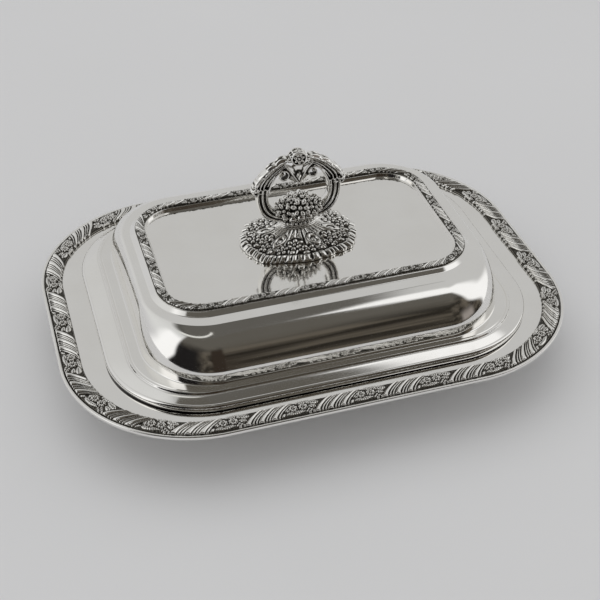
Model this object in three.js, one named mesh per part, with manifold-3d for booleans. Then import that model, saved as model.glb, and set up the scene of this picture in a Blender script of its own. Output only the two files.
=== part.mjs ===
// Entree dish: a shallow dish with a wide bordered rim, a lift-off cover and a bolted loop handle.
// Lengths are millimetres and +Z is up. X runs along the dish, Y across it, and the origin lies
// on the table under the middle of the dish. Heights of the cover are counted from the flat rim,
// and heights of the handle from the flat panel of the cover.
import * as THREE from 'three';
import { mergeVertices } from 'three/addons/utils/BufferGeometryUtils.js';
import Module from 'manifold-3d';

const wasm = await Module();
wasm.setup();

// Clearances
const JOINT_GAP = 0.3; // between pieces that are soldered or seated on each other
const BORE_CLEARANCE = 0.15; // round the stud, in each hole that it passes
const OVERRUN = 1; // how far a cutting tool runs past what it cuts

// Dish: its edge, then the widths from the edge inwards at the ends and along the sides
const DISH_LENGTH = 300;
const DISH_WIDTH = 229.4;
const DISH_CORNER = 78.4;
const RIM_HEIGHT = 32;
const DISH_SHEET = 1.3;
const RIM_WIRE_WIDTH = 1.5;
const RIM_WIRE_HEIGHT = 2.4;
const RIM_BORDER_WIDTH = 10.8;
const RIM_BORDER_THICKNESS = 2.2;
const RIM_LOBE_DEPTH = 1.1;
const RIM_BORDER_REPEATS = 23;
const RIM_FLAT_AT_ENDS = 12.5; // bare rim between the border and the cover
const RIM_FLAT_AT_SIDES = 5.8;
const SEAT_AT_ENDS = 23.9; // rim under the cover
const SEAT_AT_SIDES = 19.3;
const MOUTH_CORNER = 38;
const MOUTH_BEND = 4;
const WELL_LEAN = 15; // from the mouth in to the flat floor
const FLOOR_CORNER = 27;
const FLOOR_BEND = 9;

// Cover: widths from its edge inwards at the ends and along the sides, and heights over the rim
const COVER_CORNER = 56.3;
const COVER_SHEET = 1.2;
const BAND_WIDTH = 1.6;
const BAND_HEIGHT = 4.2;
const FLANGE_AT_ENDS = 9.8;
const FLANGE_AT_SIDES = 7.6;
const FLANGE_CORNER = 42;
const FLANGE_RISE = 1.3;
const FLANGE_STEP = 0.7;
const LEDGE_AT_ENDS = 7.3;
const LEDGE_AT_SIDES = 2.5;
const LEDGE_CORNER = 41;
const LEDGE_RISE = 0.6;
const FOOT_BEAD = 1.7;
const BULGE_AT_ENDS = 4.6;
const BULGE_AT_SIDES = 16.9;
const BULGE_CORNER = 36.4;
const BULGE_FOOT_DEGREES = 3; // lean of the big convex side at its foot
const BULGE_TOP_DEGREES = 66; // and at its top
const SHOULDER_BEND = 1.6;
const SHOULDER_WIDTH_AT_ENDS = 4.7;
const SHOULDER_WIDTH_AT_SIDES = 6.7;
const SHOULDER_HEIGHT = 34.1;
const SHOULDER_FALL = 0.3;
const RIDGE_SLOPE = 2.6;
const RIDGE_RISE = 2.1;
const RIDGE_TOP_WIDTH = 6.4;
const RIDGE_INNER_SLOPE = 0.7;
const PANEL_HEIGHT = 34;

// Applied border of the cover
const TOP_BORDER_WIDTH = 5.6;
const TOP_BORDER_THICKNESS = 1.6;
const TOP_LOBE_DEPTH = 0.7;
const TOP_BORDER_REPEATS = 18;

// Handle
const FOOT_LENGTH = 70.4;
const FOOT_WIDTH = 52;
const FOOT_HEIGHT = 9.6;
const FOOT_RIM = 2.4;
const FOOT_WALL = 1.6;
const FOOT_LOBE = 0.9;
const FOOT_LOBES = 24;
const NECK_LENGTH = 20.4;
const NECK_WIDTH = 10.4;
const COLLAR_HEIGHT = 1.9;
const COLLAR_PROUD = 0.8;
const BOSS_RADIUS = 4.4;
const LOOP_REACH = 21.7; // from the middle of the handle to the middle of an arm
const LOOP_RISE = 41; // from the collar to the middle line of the bar at its top
const ARM_WIDTH = 6.7;
const ARM_DEPTH = 7.2;
const VOLUTE_RADIUS = 2.1;
const VOLUTE_DEPTH = 5.4;
const SCROLL_RADIUS = 3.1;
const SCROLL_WIRE = 2.3;
const SCROLL_DEPTH = 4.8;
const CUP_RADIUS = 5.1;
const CUP_WALL = 1.1;
const CUP_DEPTH = 6.4;
const ROSETTE_PETAL = 1.25;
const ROSETTE_PETALS = 8;
const ROSETTE_DEPTH = 7.4;
const PENDANT_LENGTH = 8;
const PENDANT_WIDTH = 10.5;
const PENDANT_DEPTH = 4.4;
const BOUQUET_LENGTH = 29;
const BOUQUET_DEPTH = 14.5;
const BOUQUET_HEIGHT = 16.5;
const BLOOM_RADIUS = 3.4;
const BEAD_RADIUS = 2;

// Fastening of the handle
const STUD_RADIUS = 2.5;
const STUD_HOLD = 6; // length of the stud inside the boss
const STUD_SPARE = 2.5; // length of the stud below the nut
const WASHER_RADIUS = 7;
const WASHER_THICKNESS = 1;
const NUT_FLATS = 8;
const NUT_THICKNESS = 4;

// Counts of facets
const CORNER_STEPS = 8;
const WIRE_CORNER_STEPS = 15;
const BULGE_STEPS = 6;
const BEND_STEPS = 3;
const ROUND_SIDES = 24;
const COLLAR_SAMPLES = 24;
const CORE_SIDES = 12;
const BAR_SIDES = 8;
const BEAD_SIDES = 6;
const BAR_STEPS_PER_POINT = 3;
const SCROLL_STEPS = 12;
const SCROLL_TURNS = 1.15;

const QUARTER_TURN = Math.PI / 2;
const FULL_TURN = Math.PI * 2;

// Finishes
const silver = { color: 0xd2d0ca, roughness: 0.08, metalness: 1 };
const castSilver = { color: 0xc4c1b9, roughness: 0.22, metalness: 1 };
const brass = { color: 0xb59a58, roughness: 0.35, metalness: 1 };

const group = new THREE.Group();

function addPart(name, geometry, finish) {
  geometry.computeVertexNormals();
  const mesh = new THREE.Mesh(geometry, new THREE.MeshStandardMaterial(finish));
  mesh.name = name;
  group.add(mesh);
}

// Rounded rectangles: x and y are half lengths, r is the corner radius

function outline(length, width, corner) {
  return { x: length / 2, y: width / 2, r: corner };
}

function inset(shape, atEnds, atSides = atEnds, corner = shape.r - (atEnds + atSides) / 2) {
  return { x: shape.x - atEnds, y: shape.y - atSides, r: corner };
}

function between(from, to, share) {
  return {
    x: THREE.MathUtils.lerp(from.x, to.x, share),
    y: THREE.MathUtils.lerp(from.y, to.y, share),
    r: THREE.MathUtils.lerp(from.r, to.r, share),
  };
}

function outlineRing(shape, z, cornerSteps = CORNER_STEPS) {
  const ring = [];
  const signs = [[1, 1], [-1, 1], [-1, -1], [1, -1]];
  signs.forEach(([signX, signY], quarter) => {
    for (let step = 0; step <= cornerSteps; step += 1) {
      const angle = (quarter + step / cornerSteps) * QUARTER_TURN;
      const x = signX * (shape.x - shape.r) + shape.r * Math.cos(angle);
      const y = signY * (shape.y - shape.r) + shape.r * Math.sin(angle);
      ring.push([x, y, z]);
    }
  });
  return ring;
}

// The outline as a path, walked anticlockwise from the middle of the +X end
function outlinePath(shape) {
  const cornerX = shape.x - shape.r;
  const cornerY = shape.y - shape.r;
  const path = new THREE.Path();
  path.moveTo(shape.x, 0);
  path.absarc(cornerX, cornerY, shape.r, 0, QUARTER_TURN);
  path.absarc(-cornerX, cornerY, shape.r, QUARTER_TURN, 2 * QUARTER_TURN);
  path.absarc(-cornerX, -cornerY, shape.r, 2 * QUARTER_TURN, 3 * QUARTER_TURN);
  path.absarc(cornerX, -cornerY, shape.r, 3 * QUARTER_TURN, 4 * QUARTER_TURN);
  path.lineTo(shape.x, 0);
  return path;
}

// Meshes from rings: each ring has the same count of points, anticlockwise seen from above

function joinRings(rings, closed) {
  const count = rings[0].length;
  const positions = rings.flat(2);
  const index = [];
  const last = closed ? rings.length : rings.length - 1;
  for (let k = 0; k < last; k += 1) {
    const here = k * count;
    const next = ((k + 1) % rings.length) * count;
    for (let i = 0; i < count; i += 1) {
      const j = (i + 1) % count;
      index.push(here + i, here + j, next + j);
      index.push(here + i, next + j, next + i);
    }
  }
  if (!closed) {
    addCap(positions, index, rings[0], 0, true);
    addCap(positions, index, rings[rings.length - 1], (rings.length - 1) * count, false);
  }
  const geometry = new THREE.BufferGeometry();
  geometry.setAttribute('position', new THREE.Float32BufferAttribute(positions, 3));
  geometry.setIndex(index);
  return geometry;
}

function addCap(positions, index, ring, start, first) {
  const centre = positions.length / 3;
  for (let axis = 0; axis < 3; axis += 1) {
    positions.push(ring.reduce((sum, point) => sum + point[axis], 0) / ring.length);
  }
  for (let i = 0; i < ring.length; i += 1) {
    const j = (i + 1) % ring.length;
    if (first) index.push(centre, start + j, start + i);
    else index.push(centre, start + i, start + j);
  }
}

// A skin is a list of outlines with heights. Its offset lies a sheet's thickness away,
// on the side away from the skin's own face.
function offsetSkin(skin, thickness) {
  return skin.map((station, i) => {
    const before = skin[Math.max(i - 1, 0)];
    const after = skin[Math.min(i + 1, skin.length - 1)];
    const run = (before.shape.x + before.shape.y - after.shape.x - after.shape.y) / 2;
    const rise = after.z - before.z;
    const size = Math.hypot(run, rise);
    const shape = inset(station.shape, (thickness * rise) / size);
    return { shape, z: station.z - (thickness * run) / size };
  });
}

function sheetGeometry(skin, thickness) {
  const under = offsetSkin(skin, thickness).reverse();
  return joinRings([...under, ...skin].map(({ shape, z }) => outlineRing(shape, z)), false);
}

function toSolid(geometry) {
  const bare = geometry.clone();
  bare.deleteAttribute('normal');
  bare.deleteAttribute('uv');
  const merged = mergeVertices(bare);
  return new wasm.Manifold(new wasm.Mesh({
    numProp: 3,
    vertProperties: new Float32Array(merged.attributes.position.array),
    triVerts: new Uint32Array(merged.index.array),
  }));
}

function toGeometry(solid) {
  const mesh = solid.getMesh();
  const geometry = new THREE.BufferGeometry();
  geometry.setAttribute('position', new THREE.BufferAttribute(mesh.vertProperties, 3));
  geometry.setIndex(new THREE.BufferAttribute(mesh.triVerts, 1));
  return geometry;
}

function uprightCylinder(radius, low, high, sides = ROUND_SIDES) {
  const geometry = new THREE.CylinderGeometry(radius, radius, high - low, sides);
  geometry.rotateX(QUARTER_TURN);
  geometry.translate(0, 0, (low + high) / 2);
  return geometry;
}

function ellipsoid(centre, halfSizes, sides) {
  const geometry = new THREE.SphereGeometry(1, sides, sides);
  geometry.rotateX(QUARTER_TURN);
  geometry.scale(...halfSizes);
  geometry.translate(...centre);
  return toSolid(geometry);
}

// Levels that several pieces share
const rimTop = RIM_HEIGHT;
const coverSeat = rimTop + JOINT_GAP;
const flangeTop = rimTop + BAND_HEIGHT;
const shoulderTop = rimTop + SHOULDER_HEIGHT;
const panelTop = rimTop + PANEL_HEIGHT;
const panelUnderside = panelTop - COVER_SHEET;
const ridgeTop = shoulderTop + RIDGE_RISE;
const neckTop = panelTop + FOOT_HEIGHT;
const collarBase = neckTop + JOINT_GAP;
const collarTop = collarBase + COLLAR_HEIGHT;
const loopBase = collarTop + JOINT_GAP;

// Outlines that several pieces share, each derived from the one outside it
const dishEdge = outline(DISH_LENGTH, DISH_WIDTH, DISH_CORNER);
const wireInside = inset(dishEdge, RIM_WIRE_WIDTH);
const sheetEdge = inset(wireInside, JOINT_GAP);
const borderInside = inset(sheetEdge, RIM_BORDER_WIDTH);
const coverEdge = inset(borderInside, RIM_FLAT_AT_ENDS, RIM_FLAT_AT_SIDES, COVER_CORNER);
const mouth = inset(coverEdge, SEAT_AT_ENDS, SEAT_AT_SIDES, MOUTH_CORNER);
const bandInside = inset(coverEdge, BAND_WIDTH);
const flangeEdge = inset(bandInside, JOINT_GAP);
const flangeInner = inset(flangeEdge, FLANGE_AT_ENDS, FLANGE_AT_SIDES, FLANGE_CORNER);
const ledgeInner = inset(flangeInner, LEDGE_AT_ENDS, LEDGE_AT_SIDES, LEDGE_CORNER);
const bulgeFoot = inset(ledgeInner, FLANGE_STEP);
const bulgeTop = inset(bulgeFoot, BULGE_AT_ENDS, BULGE_AT_SIDES, BULGE_CORNER);
const shoulderEdge = inset(bulgeTop, SHOULDER_BEND);
const slopeFoot = inset(shoulderEdge, SHOULDER_WIDTH_AT_ENDS, SHOULDER_WIDTH_AT_SIDES);
const ridgeEdge = inset(slopeFoot, RIDGE_SLOPE);
const ridgeInside = inset(ridgeEdge, RIDGE_TOP_WIDTH);
const panelEdge = inset(ridgeInside, RIDGE_INNER_SLOPE);

function bend(from, to, zFrom, zTo, startsLevel) {
  const stations = [];
  for (let step = 0; step <= BEND_STEPS; step += 1) {
    const angle = (step / BEND_STEPS) * QUARTER_TURN;
    const levelShare = startsLevel ? Math.sin(angle) : 1 - Math.cos(angle);
    const dropShare = startsLevel ? 1 - Math.cos(angle) : Math.sin(angle);
    stations.push({
      shape: between(from, to, levelShare),
      z: THREE.MathUtils.lerp(zFrom, zTo, dropShare),
    });
  }
  return stations;
}

function makeDishBody() {
  const mouthOutside = inset(mouth, -MOUTH_BEND);
  const floor = inset(mouth, WELL_LEAN, WELL_LEAN, FLOOR_CORNER);
  const floorOutside = inset(floor, -FLOOR_BEND);
  const floorTop = DISH_SHEET;
  const skin = [
    { shape: sheetEdge, z: rimTop },
    ...bend(mouthOutside, mouth, rimTop, rimTop - MOUTH_BEND, true),
    ...bend(floorOutside, floor, floorTop + FLOOR_BEND, floorTop, false),
    { shape: inset(floor, FLOOR_BEND), z: floorTop },
  ];
  addPart('dish_body', sheetGeometry(skin, DISH_SHEET), silver);
}

// One repeat of a border: three leaning lobes, a leaf and two flower heads. A column has its
// place along the repeat, its crown outside, on and inside the middle line, and its lean.
const borderColumns = [
  { alongShare: 0.04, crownShares: [0.9, 1, 0.9], leanShare: 1 },
  { alongShare: 0.13, crownShares: [0.2, 0.2, 0.2], leanShare: 1 },
  { alongShare: 0.23, crownShares: [0.9, 1, 0.9], leanShare: 1 },
  { alongShare: 0.32, crownShares: [0.2, 0.2, 0.2], leanShare: 0.9 },
  { alongShare: 0.41, crownShares: [0.9, 1, 0.9], leanShare: 0.8 },
  { alongShare: 0.51, crownShares: [0.1, 0.2, 0.2], leanShare: 0.5 },
  { alongShare: 0.58, crownShares: [0.5, 0.6, 0.7], leanShare: 0.3 },
  { alongShare: 0.65, crownShares: [0.4, 0.1, 0.4], leanShare: 0.1 },
  { alongShare: 0.717, crownShares: [0.3, 1, 0.3], leanShare: 0 },
  { alongShare: 0.79, crownShares: [0.5, 0.1, 0.5], leanShare: 0 },
  { alongShare: 0.861, crownShares: [0.3, 1, 0.3], leanShare: 0.1 },
  { alongShare: 0.95, crownShares: [0.6, 0.2, 0.5], leanShare: 0.6 },
];
const leanAcrossShare = 0.288; // of a repeat, from the outer edge of the border to its inner one
const leanPower = 1.75;
const rimStartShare = 0.602; // of a repeat, from the middle of the +X end to a group's first lobe
const topStartShare = 0.415;

// A border is swept along its middle line, and its crown follows the columns of each repeat
function makeBorder(name, middleLine, size) {
  const { base, width, thickness, lobeDepth, repeats, startShare } = size;
  const path = outlinePath(middleLine);
  const section = [
    { widthShare: -1, height: 0 },
    { widthShare: 1, height: 0 },
    { widthShare: 1, height: thickness / 2 },
    { widthShare: 0.6, height: thickness, crown: 0 },
    { widthShare: 0, height: thickness, crown: 1 },
    { widthShare: -0.6, height: thickness, crown: 2 },
    { widthShare: -1, height: thickness / 2 },
  ];
  const rings = section.map(({ widthShare, height, crown }) => {
    const lean = leanAcrossShare * ((1 - widthShare) / 2) ** leanPower;
    const ring = [];
    for (let repeat = 0; repeat < repeats; repeat += 1) {
      borderColumns.forEach(({ alongShare, crownShares, leanShare }) => {
        const along = (repeat + startShare + alongShare + lean * leanShare) / repeats;
        const at = path.getPoint(along % 1);
        const tangent = path.getTangent(along % 1);
        const lobeShare = crown === undefined ? 1 : crownShares[crown];
        const offset = (widthShare * width) / 2;
        const z = base + height - lobeDepth * (1 - lobeShare);
        ring.push([at.x + tangent.y * offset, at.y - tangent.x * offset, z]);
      });
    }
    return ring;
  });
  addPart(name, joinRings(rings, true), castSilver);
}

function makeRimTrim() {
  const borderMiddle = inset(sheetEdge, RIM_BORDER_WIDTH / 2);
  const base = rimTop + JOINT_GAP;
  makeBorder('rim_border', borderMiddle, {
    base,
    width: RIM_BORDER_WIDTH,
    thickness: RIM_BORDER_THICKNESS,
    lobeDepth: RIM_LOBE_DEPTH,
    repeats: RIM_BORDER_REPEATS,
    startShare: rimStartShare,
  });
  const wireLow = rimTop - DISH_SHEET;
  const wireHigh = wireLow + RIM_WIRE_HEIGHT;
  const round = RIM_WIRE_WIDTH / 3;
  const rings = [
    [wireInside, wireLow],
    [inset(dishEdge, round), wireLow],
    [dishEdge, wireLow + round],
    [dishEdge, wireHigh - round],
    [inset(dishEdge, round), wireHigh],
    [wireInside, wireHigh],
  ];
  const wire = rings.map(([shape, z]) => outlineRing(shape, z, WIRE_CORNER_STEPS));
  addPart('rim_edge_wire', joinRings(wire, true), silver);
}

// The outside of the cover from its lower edge up to the middle of the panel
function coverSkin() {
  const stepTop = flangeTop + FLANGE_RISE;
  const ledgeTop = stepTop + LEDGE_RISE;
  const shoulderLow = shoulderTop - SHOULDER_FALL;
  return [
    { shape: flangeEdge, z: flangeTop },
    { shape: flangeInner, z: stepTop - FLANGE_STEP },
    { shape: inset(flangeInner, FLANGE_STEP), z: stepTop },
    { shape: ledgeInner, z: ledgeTop },
    ...bulge(bulgeFoot, bulgeTop, ledgeTop + FOOT_BEAD, shoulderLow - SHOULDER_BEND / 2),
    { shape: shoulderEdge, z: shoulderLow },
    { shape: slopeFoot, z: shoulderTop },
    { shape: ridgeEdge, z: ridgeTop },
    { shape: ridgeInside, z: ridgeTop },
    { shape: panelEdge, z: panelTop },
    { shape: inset(panelEdge, RIDGE_TOP_WIDTH), z: panelTop },
  ];
}

// The big convex side: part of an ellipse, steep at its foot and leaning in at its top
function bulge(foot, top, low, high) {
  const footLean = THREE.MathUtils.degToRad(BULGE_FOOT_DEGREES);
  const topLean = THREE.MathUtils.degToRad(BULGE_TOP_DEGREES);
  const run = Math.cos(footLean) - Math.cos(topLean);
  const rise = Math.sin(topLean) - Math.sin(footLean);
  const stations = [];
  for (let step = 0; step <= BULGE_STEPS; step += 1) {
    const lean = THREE.MathUtils.lerp(footLean, topLean, step / BULGE_STEPS);
    const inShare = (Math.cos(footLean) - Math.cos(lean)) / run;
    const upShare = (Math.sin(lean) - Math.sin(footLean)) / rise;
    stations.push({ shape: between(foot, top, inShare), z: THREE.MathUtils.lerp(low, high, upShare) });
  }
  return stations;
}

function makeCoverBody() {
  const shell = toSolid(sheetGeometry(coverSkin(), COVER_SHEET));
  const hole = uprightCylinder(STUD_RADIUS + BORE_CLEARANCE, panelUnderside - OVERRUN, panelTop + OVERRUN);
  addPart('cover_body', toGeometry(shell.subtract(toSolid(hole))), silver);
}

function makeCoverTrim() {
  const round = BAND_WIDTH / 2;
  const rings = [
    [bandInside, coverSeat],
    [inset(coverEdge, round / 2), coverSeat],
    [coverEdge, coverSeat + round],
    [coverEdge, flangeTop - round],
    [inset(coverEdge, round), flangeTop],
    [bandInside, flangeTop],
  ];
  const band = rings.map(([shape, z]) => outlineRing(shape, z));
  addPart('cover_edge_band', joinRings(band, true), silver);
  const borderMiddle = inset(ridgeEdge, RIDGE_TOP_WIDTH / 2);
  makeBorder('cover_top_border', borderMiddle, {
    base: ridgeTop + JOINT_GAP,
    width: TOP_BORDER_WIDTH,
    thickness: TOP_BORDER_THICKNESS,
    lobeDepth: TOP_LOBE_DEPTH,
    repeats: TOP_BORDER_REPEATS,
    startShare: topStartShare,
  });
}

// A ring between an oval and a rounded oblong: the fuller it is, the squarer. The lobe is the
// height of the small waves along it.
function fullRing({ x, y, z, lobe = 0, fullness = 1 }, samples) {
  const ring = [];
  for (let i = 0; i < samples; i += 1) {
    const angle = (i / samples) * FULL_TURN;
    const swell = lobe * Math.cos(angle * FOOT_LOBES);
    const alongShare = Math.sign(Math.cos(angle)) * Math.abs(Math.cos(angle)) ** (1 / fullness);
    const acrossShare = Math.sign(Math.sin(angle)) * Math.abs(Math.sin(angle)) ** (1 / fullness);
    ring.push([(x + swell) * alongShare, (y + swell) * acrossShare, z]);
  }
  return ring;
}

function makeHandleFoot() {
  const low = panelTop + JOINT_GAP;
  const neck = { x: NECK_LENGTH / 2, y: NECK_WIDTH / 2 };
  const edge = { x: FOOT_LENGTH / 2 - FOOT_LOBE, y: FOOT_WIDTH / 2 - FOOT_LOBE };
  const edgeFullness = 1.3;
  const domeShares = [[0.08, 0.38], [0.4, 0.62], [0.75, 0.82], [1, 1]];
  const dome = domeShares.map(([inShare, upShare]) => ({
    x: THREE.MathUtils.lerp(edge.x, neck.x, inShare),
    y: THREE.MathUtils.lerp(edge.y, neck.y, inShare),
    z: THREE.MathUtils.lerp(low, neckTop, upShare),
    lobe: FOOT_LOBE * (1 - inShare),
    fullness: THREE.MathUtils.lerp(edgeFullness, 1, inShare),
  }));
  const rim = { x: edge.x, y: edge.y, lobe: FOOT_LOBE, fullness: edgeFullness };
  const outer = [{ ...rim, z: low }, { ...rim, z: low + FOOT_RIM / 2 }, ...dome];
  const hollow = dome.slice(0, -1).reverse().map(({ x, y, z, fullness }) => (
    { x: x - FOOT_WALL, y: y - FOOT_WALL, z: z - FOOT_WALL, fullness }));
  const mouth = { x: edge.x - FOOT_WALL, y: edge.y - FOOT_WALL, z: low, fullness: edgeFullness };
  const samples = 2 * FOOT_LOBES;
  const rings = [...hollow, mouth, ...outer].map((ring) => fullRing(ring, samples));
  const boss = toSolid(uprightCylinder(BOSS_RADIUS, low, neckTop - FOOT_WALL / 2));
  const bore = toSolid(uprightCylinder(STUD_RADIUS + BORE_CLEARANCE, low - OVERRUN, low + STUD_HOLD));
  const shell = toSolid(joinRings(rings, false));
  addPart('handle_foot', toGeometry(shell.add(boss).subtract(bore)), castSilver);
}

function makeHandleCollar() {
  const x = NECK_LENGTH / 2;
  const y = NECK_WIDTH / 2;
  const rings = [
    { x, y, z: collarBase },
    { x: x + COLLAR_PROUD, y: y + COLLAR_PROUD, z: collarBase + COLLAR_HEIGHT / 3 },
    { x: x + COLLAR_PROUD, y: y + COLLAR_PROUD, z: collarTop - COLLAR_HEIGHT / 3 },
    { x, y, z: collarTop },
  ];
  const collar = joinRings(rings.map((ring) => fullRing(ring, COLLAR_SAMPLES)), false);
  addPart('handle_collar', collar, castSilver);
}

// A bar that bends in the X-Z plane, with an oval section whose size changes along it
function bentBar(points, halfWidths, halfDepths, steps, sides) {
  const path = new THREE.CatmullRomCurve3(points);
  const widths = new THREE.CatmullRomCurve3(
    halfWidths.map((width, i) => new THREE.Vector3(width, halfDepths[i], 0)));
  const rings = [];
  for (let step = 0; step <= steps; step += 1) {
    const at = path.getPoint(step / steps);
    const tangent = path.getTangent(step / steps);
    const size = widths.getPoint(step / steps);
    const ring = [];
    for (let i = 0; i < sides; i += 1) {
      const angle = (i / sides) * FULL_TURN;
      const across = size.x * Math.cos(angle);
      const deep = size.y * Math.sin(angle);
      ring.push([at.x + tangent.z * across, at.y + deep, at.z - tangent.x * across]);
    }
    rings.push(ring);
  }
  return toSolid(joinRings(rings, false));
}

const loopPathShares = [
  [0.4, 0.095], [0.68, 0.16], [0.87, 0.255], [0.97, 0.38], [1, 0.51], [0.985, 0.635],
  [0.885, 0.76], [0.71, 0.87], [0.48, 0.945], [0.24, 0.99], [0, 1],
];
const loopWidthShares = [0.7, 0.84, 1, 1, 1, 1.25, 1.35, 1.25, 0.95, 0.75, 0.7];
const loopDepthShares = [0.8, 0.9, 1, 1, 1, 1.05, 1.1, 1.05, 0.95, 0.85, 0.8];

function loopPoint([reachShare, riseShare]) {
  return new THREE.Vector3(LOOP_REACH * reachShare, 0, loopBase + LOOP_RISE * riseShare);
}

function mirrored(values) {
  return [...values, ...values.slice(0, -1).reverse()];
}

function loopBar(grow) {
  const right = loopPathShares.map(loopPoint);
  const left = right.slice(0, -1).reverse().map((point) => new THREE.Vector3(-point.x, 0, point.z));
  const halfWidths = mirrored(loopWidthShares).map((share) => (share * ARM_WIDTH) / 2 + grow);
  const halfDepths = mirrored(loopDepthShares).map((share) => (share * ARM_DEPTH) / 2 + grow);
  const steps = 2 * BAR_STEPS_PER_POINT * (loopPathShares.length - 1);
  return bentBar([...right, ...left], halfWidths, halfDepths, steps, BAR_SIDES);
}

// A wire that curls in on itself beside the shoulder of the loop
function scroll(side) {
  const placeShares = [0.5, 0.85];
  const curlShare = 0.62;
  const centre = loopPoint(placeShares);
  const points = [];
  for (let step = 0; step <= SCROLL_STEPS; step += 1) {
    const angle = (step / SCROLL_STEPS) * SCROLL_TURNS * FULL_TURN;
    const radius = SCROLL_RADIUS * (1 - curlShare * (step / SCROLL_STEPS));
    const x = side * (centre.x + radius * Math.cos(angle));
    points.push(new THREE.Vector3(x, 0, centre.z + radius * Math.sin(angle)));
  }
  const halfWidths = points.map(() => SCROLL_WIRE / 2);
  const halfDepths = points.map(() => SCROLL_DEPTH / 2);
  return bentBar(points, halfWidths, halfDepths, SCROLL_STEPS, BEAD_SIDES);
}

const cupHeight = loopPoint([0, 1]).z;

// A cylinder across the handle, in line with the cup
function cupCylinder(radius, depth, sides = ROUND_SIDES) {
  const geometry = new THREE.CylinderGeometry(radius, radius, depth, sides);
  geometry.translate(0, 0, cupHeight);
  return toSolid(geometry);
}

function makeHandleLoop() {
  const shoulderShares = [1.17, 0.64];
  let loop = loopBar(0);
  [1, -1].forEach((side) => {
    const shoulder = loopPoint([side * shoulderShares[0], shoulderShares[1]]);
    const volute = [VOLUTE_RADIUS, VOLUTE_DEPTH / 2, VOLUTE_RADIUS];
    loop = loop.add(ellipsoid(shoulder.toArray(), volute, BAR_SIDES)).add(scroll(side));
  });
  const cup = cupCylinder(CUP_RADIUS, CUP_DEPTH);
  const cupBore = cupCylinder(CUP_RADIUS - CUP_WALL, ARM_DEPTH + CUP_DEPTH);
  const pendant = ellipsoid([0, 0, cupHeight - CUP_RADIUS - PENDANT_LENGTH / 2 + CUP_WALL],
    [PENDANT_WIDTH / 2, PENDANT_DEPTH / 2, PENDANT_LENGTH / 2], BAR_SIDES);
  addPart('handle_loop', toGeometry(loop.add(cup).add(pendant).subtract(cupBore)), castSilver);
}

function makeRosette() {
  const room = CUP_RADIUS - CUP_WALL - JOINT_GAP;
  const petalRing = room - ROSETTE_PETAL;
  let flower = cupCylinder(petalRing, CUP_DEPTH, CORE_SIDES);
  for (let i = 0; i < ROSETTE_PETALS; i += 1) {
    const angle = (i / ROSETTE_PETALS) * FULL_TURN;
    const centre = [petalRing * Math.cos(angle), 0, cupHeight + petalRing * Math.sin(angle)];
    flower = flower.add(ellipsoid(centre, [ROSETTE_PETAL, ROSETTE_DEPTH / 2, ROSETTE_PETAL], BEAD_SIDES));
  }
  addPart('handle_rosette', toGeometry(flower), castSilver);
}

// Flower heads and berries packed round a core, the same on both faces of the handle
function makeBouquet() {
  const middle = loopBase + BOUQUET_HEIGHT / 2;
  const half = [BOUQUET_LENGTH / 2, BOUQUET_DEPTH / 2, BOUQUET_HEIGHT / 2];
  const swellShare = 0.82;
  let bouquet = ellipsoid([0, 0, middle], half.map((size) => size * swellShare), CORE_SIDES);
  const bloomShares = [[0, 0.58], [-0.5, 0.42], [0.5, 0.42], [-0.75, -0.05], [0.75, -0.05]];
  const beadShares = [[-0.42, -0.38], [0, -0.5], [0.42, -0.38], [-0.28, 0.1], [0.28, 0.1]];
  [-1, 1].forEach((face) => {
    const place = ([alongShare, upShare], radius) => {
      const bulgeShare = Math.sqrt(1 - alongShare ** 2 - upShare ** 2);
      const out = face * (half[1] - radius) * bulgeShare;
      return [half[0] * alongShare, out, middle + half[2] * upShare];
    };
    bloomShares.forEach((share) => {
      const size = [BLOOM_RADIUS, BEAD_RADIUS, BLOOM_RADIUS];
      bouquet = bouquet.add(ellipsoid(place(share, BEAD_RADIUS), size, BAR_SIDES));
    });
    beadShares.forEach((share) => {
      const size = [BEAD_RADIUS, BEAD_RADIUS, BEAD_RADIUS];
      bouquet = bouquet.add(ellipsoid(place(share, BEAD_RADIUS), size, BEAD_SIDES));
    });
  });
  const base = uprightCylinder(NECK_WIDTH / 2, loopBase, middle);
  base.scale(NECK_LENGTH / NECK_WIDTH, 1, 1);
  bouquet = bouquet.add(toSolid(base));
  const below = uprightCylinder(BOUQUET_LENGTH, loopBase - BOUQUET_HEIGHT, loopBase);
  bouquet = bouquet.subtract(toSolid(below)).subtract(loopBar(JOINT_GAP));
  addPart('handle_bouquet', toGeometry(bouquet), castSilver);
}

function ringPlate(radius, boreRadius, low, high, sides) {
  const plate = toSolid(uprightCylinder(radius, low, high, sides));
  return toGeometry(plate.subtract(toSolid(uprightCylinder(boreRadius, low - OVERRUN, high + OVERRUN))));
}

function makeFastening() {
  const washerTop = panelUnderside - JOINT_GAP;
  const washerLow = washerTop - WASHER_THICKNESS;
  const nutTop = washerLow - JOINT_GAP;
  const nutLow = nutTop - NUT_THICKNESS;
  const studTop = panelTop + STUD_HOLD;
  addPart('handle_stud', uprightCylinder(STUD_RADIUS, nutLow - STUD_SPARE, studTop), brass);
  const bore = STUD_RADIUS + BORE_CLEARANCE;
  addPart('handle_washer', ringPlate(WASHER_RADIUS, bore, washerLow, washerTop, ROUND_SIDES), brass);
  const acrossCorners = NUT_FLATS / Math.cos(Math.PI / 6);
  addPart('handle_nut', ringPlate(acrossCorners / 2, bore, nutLow, nutTop, 6), brass);
}

makeDishBody();
makeRimTrim();
makeCoverBody();
makeCoverTrim();
makeHandleFoot();
makeHandleCollar();
makeHandleLoop();
makeRosette();
makeBouquet();
makeFastening();

export default group;
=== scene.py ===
import math

import bpy
import numpy as np
from mathutils import Matrix, Vector


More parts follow.
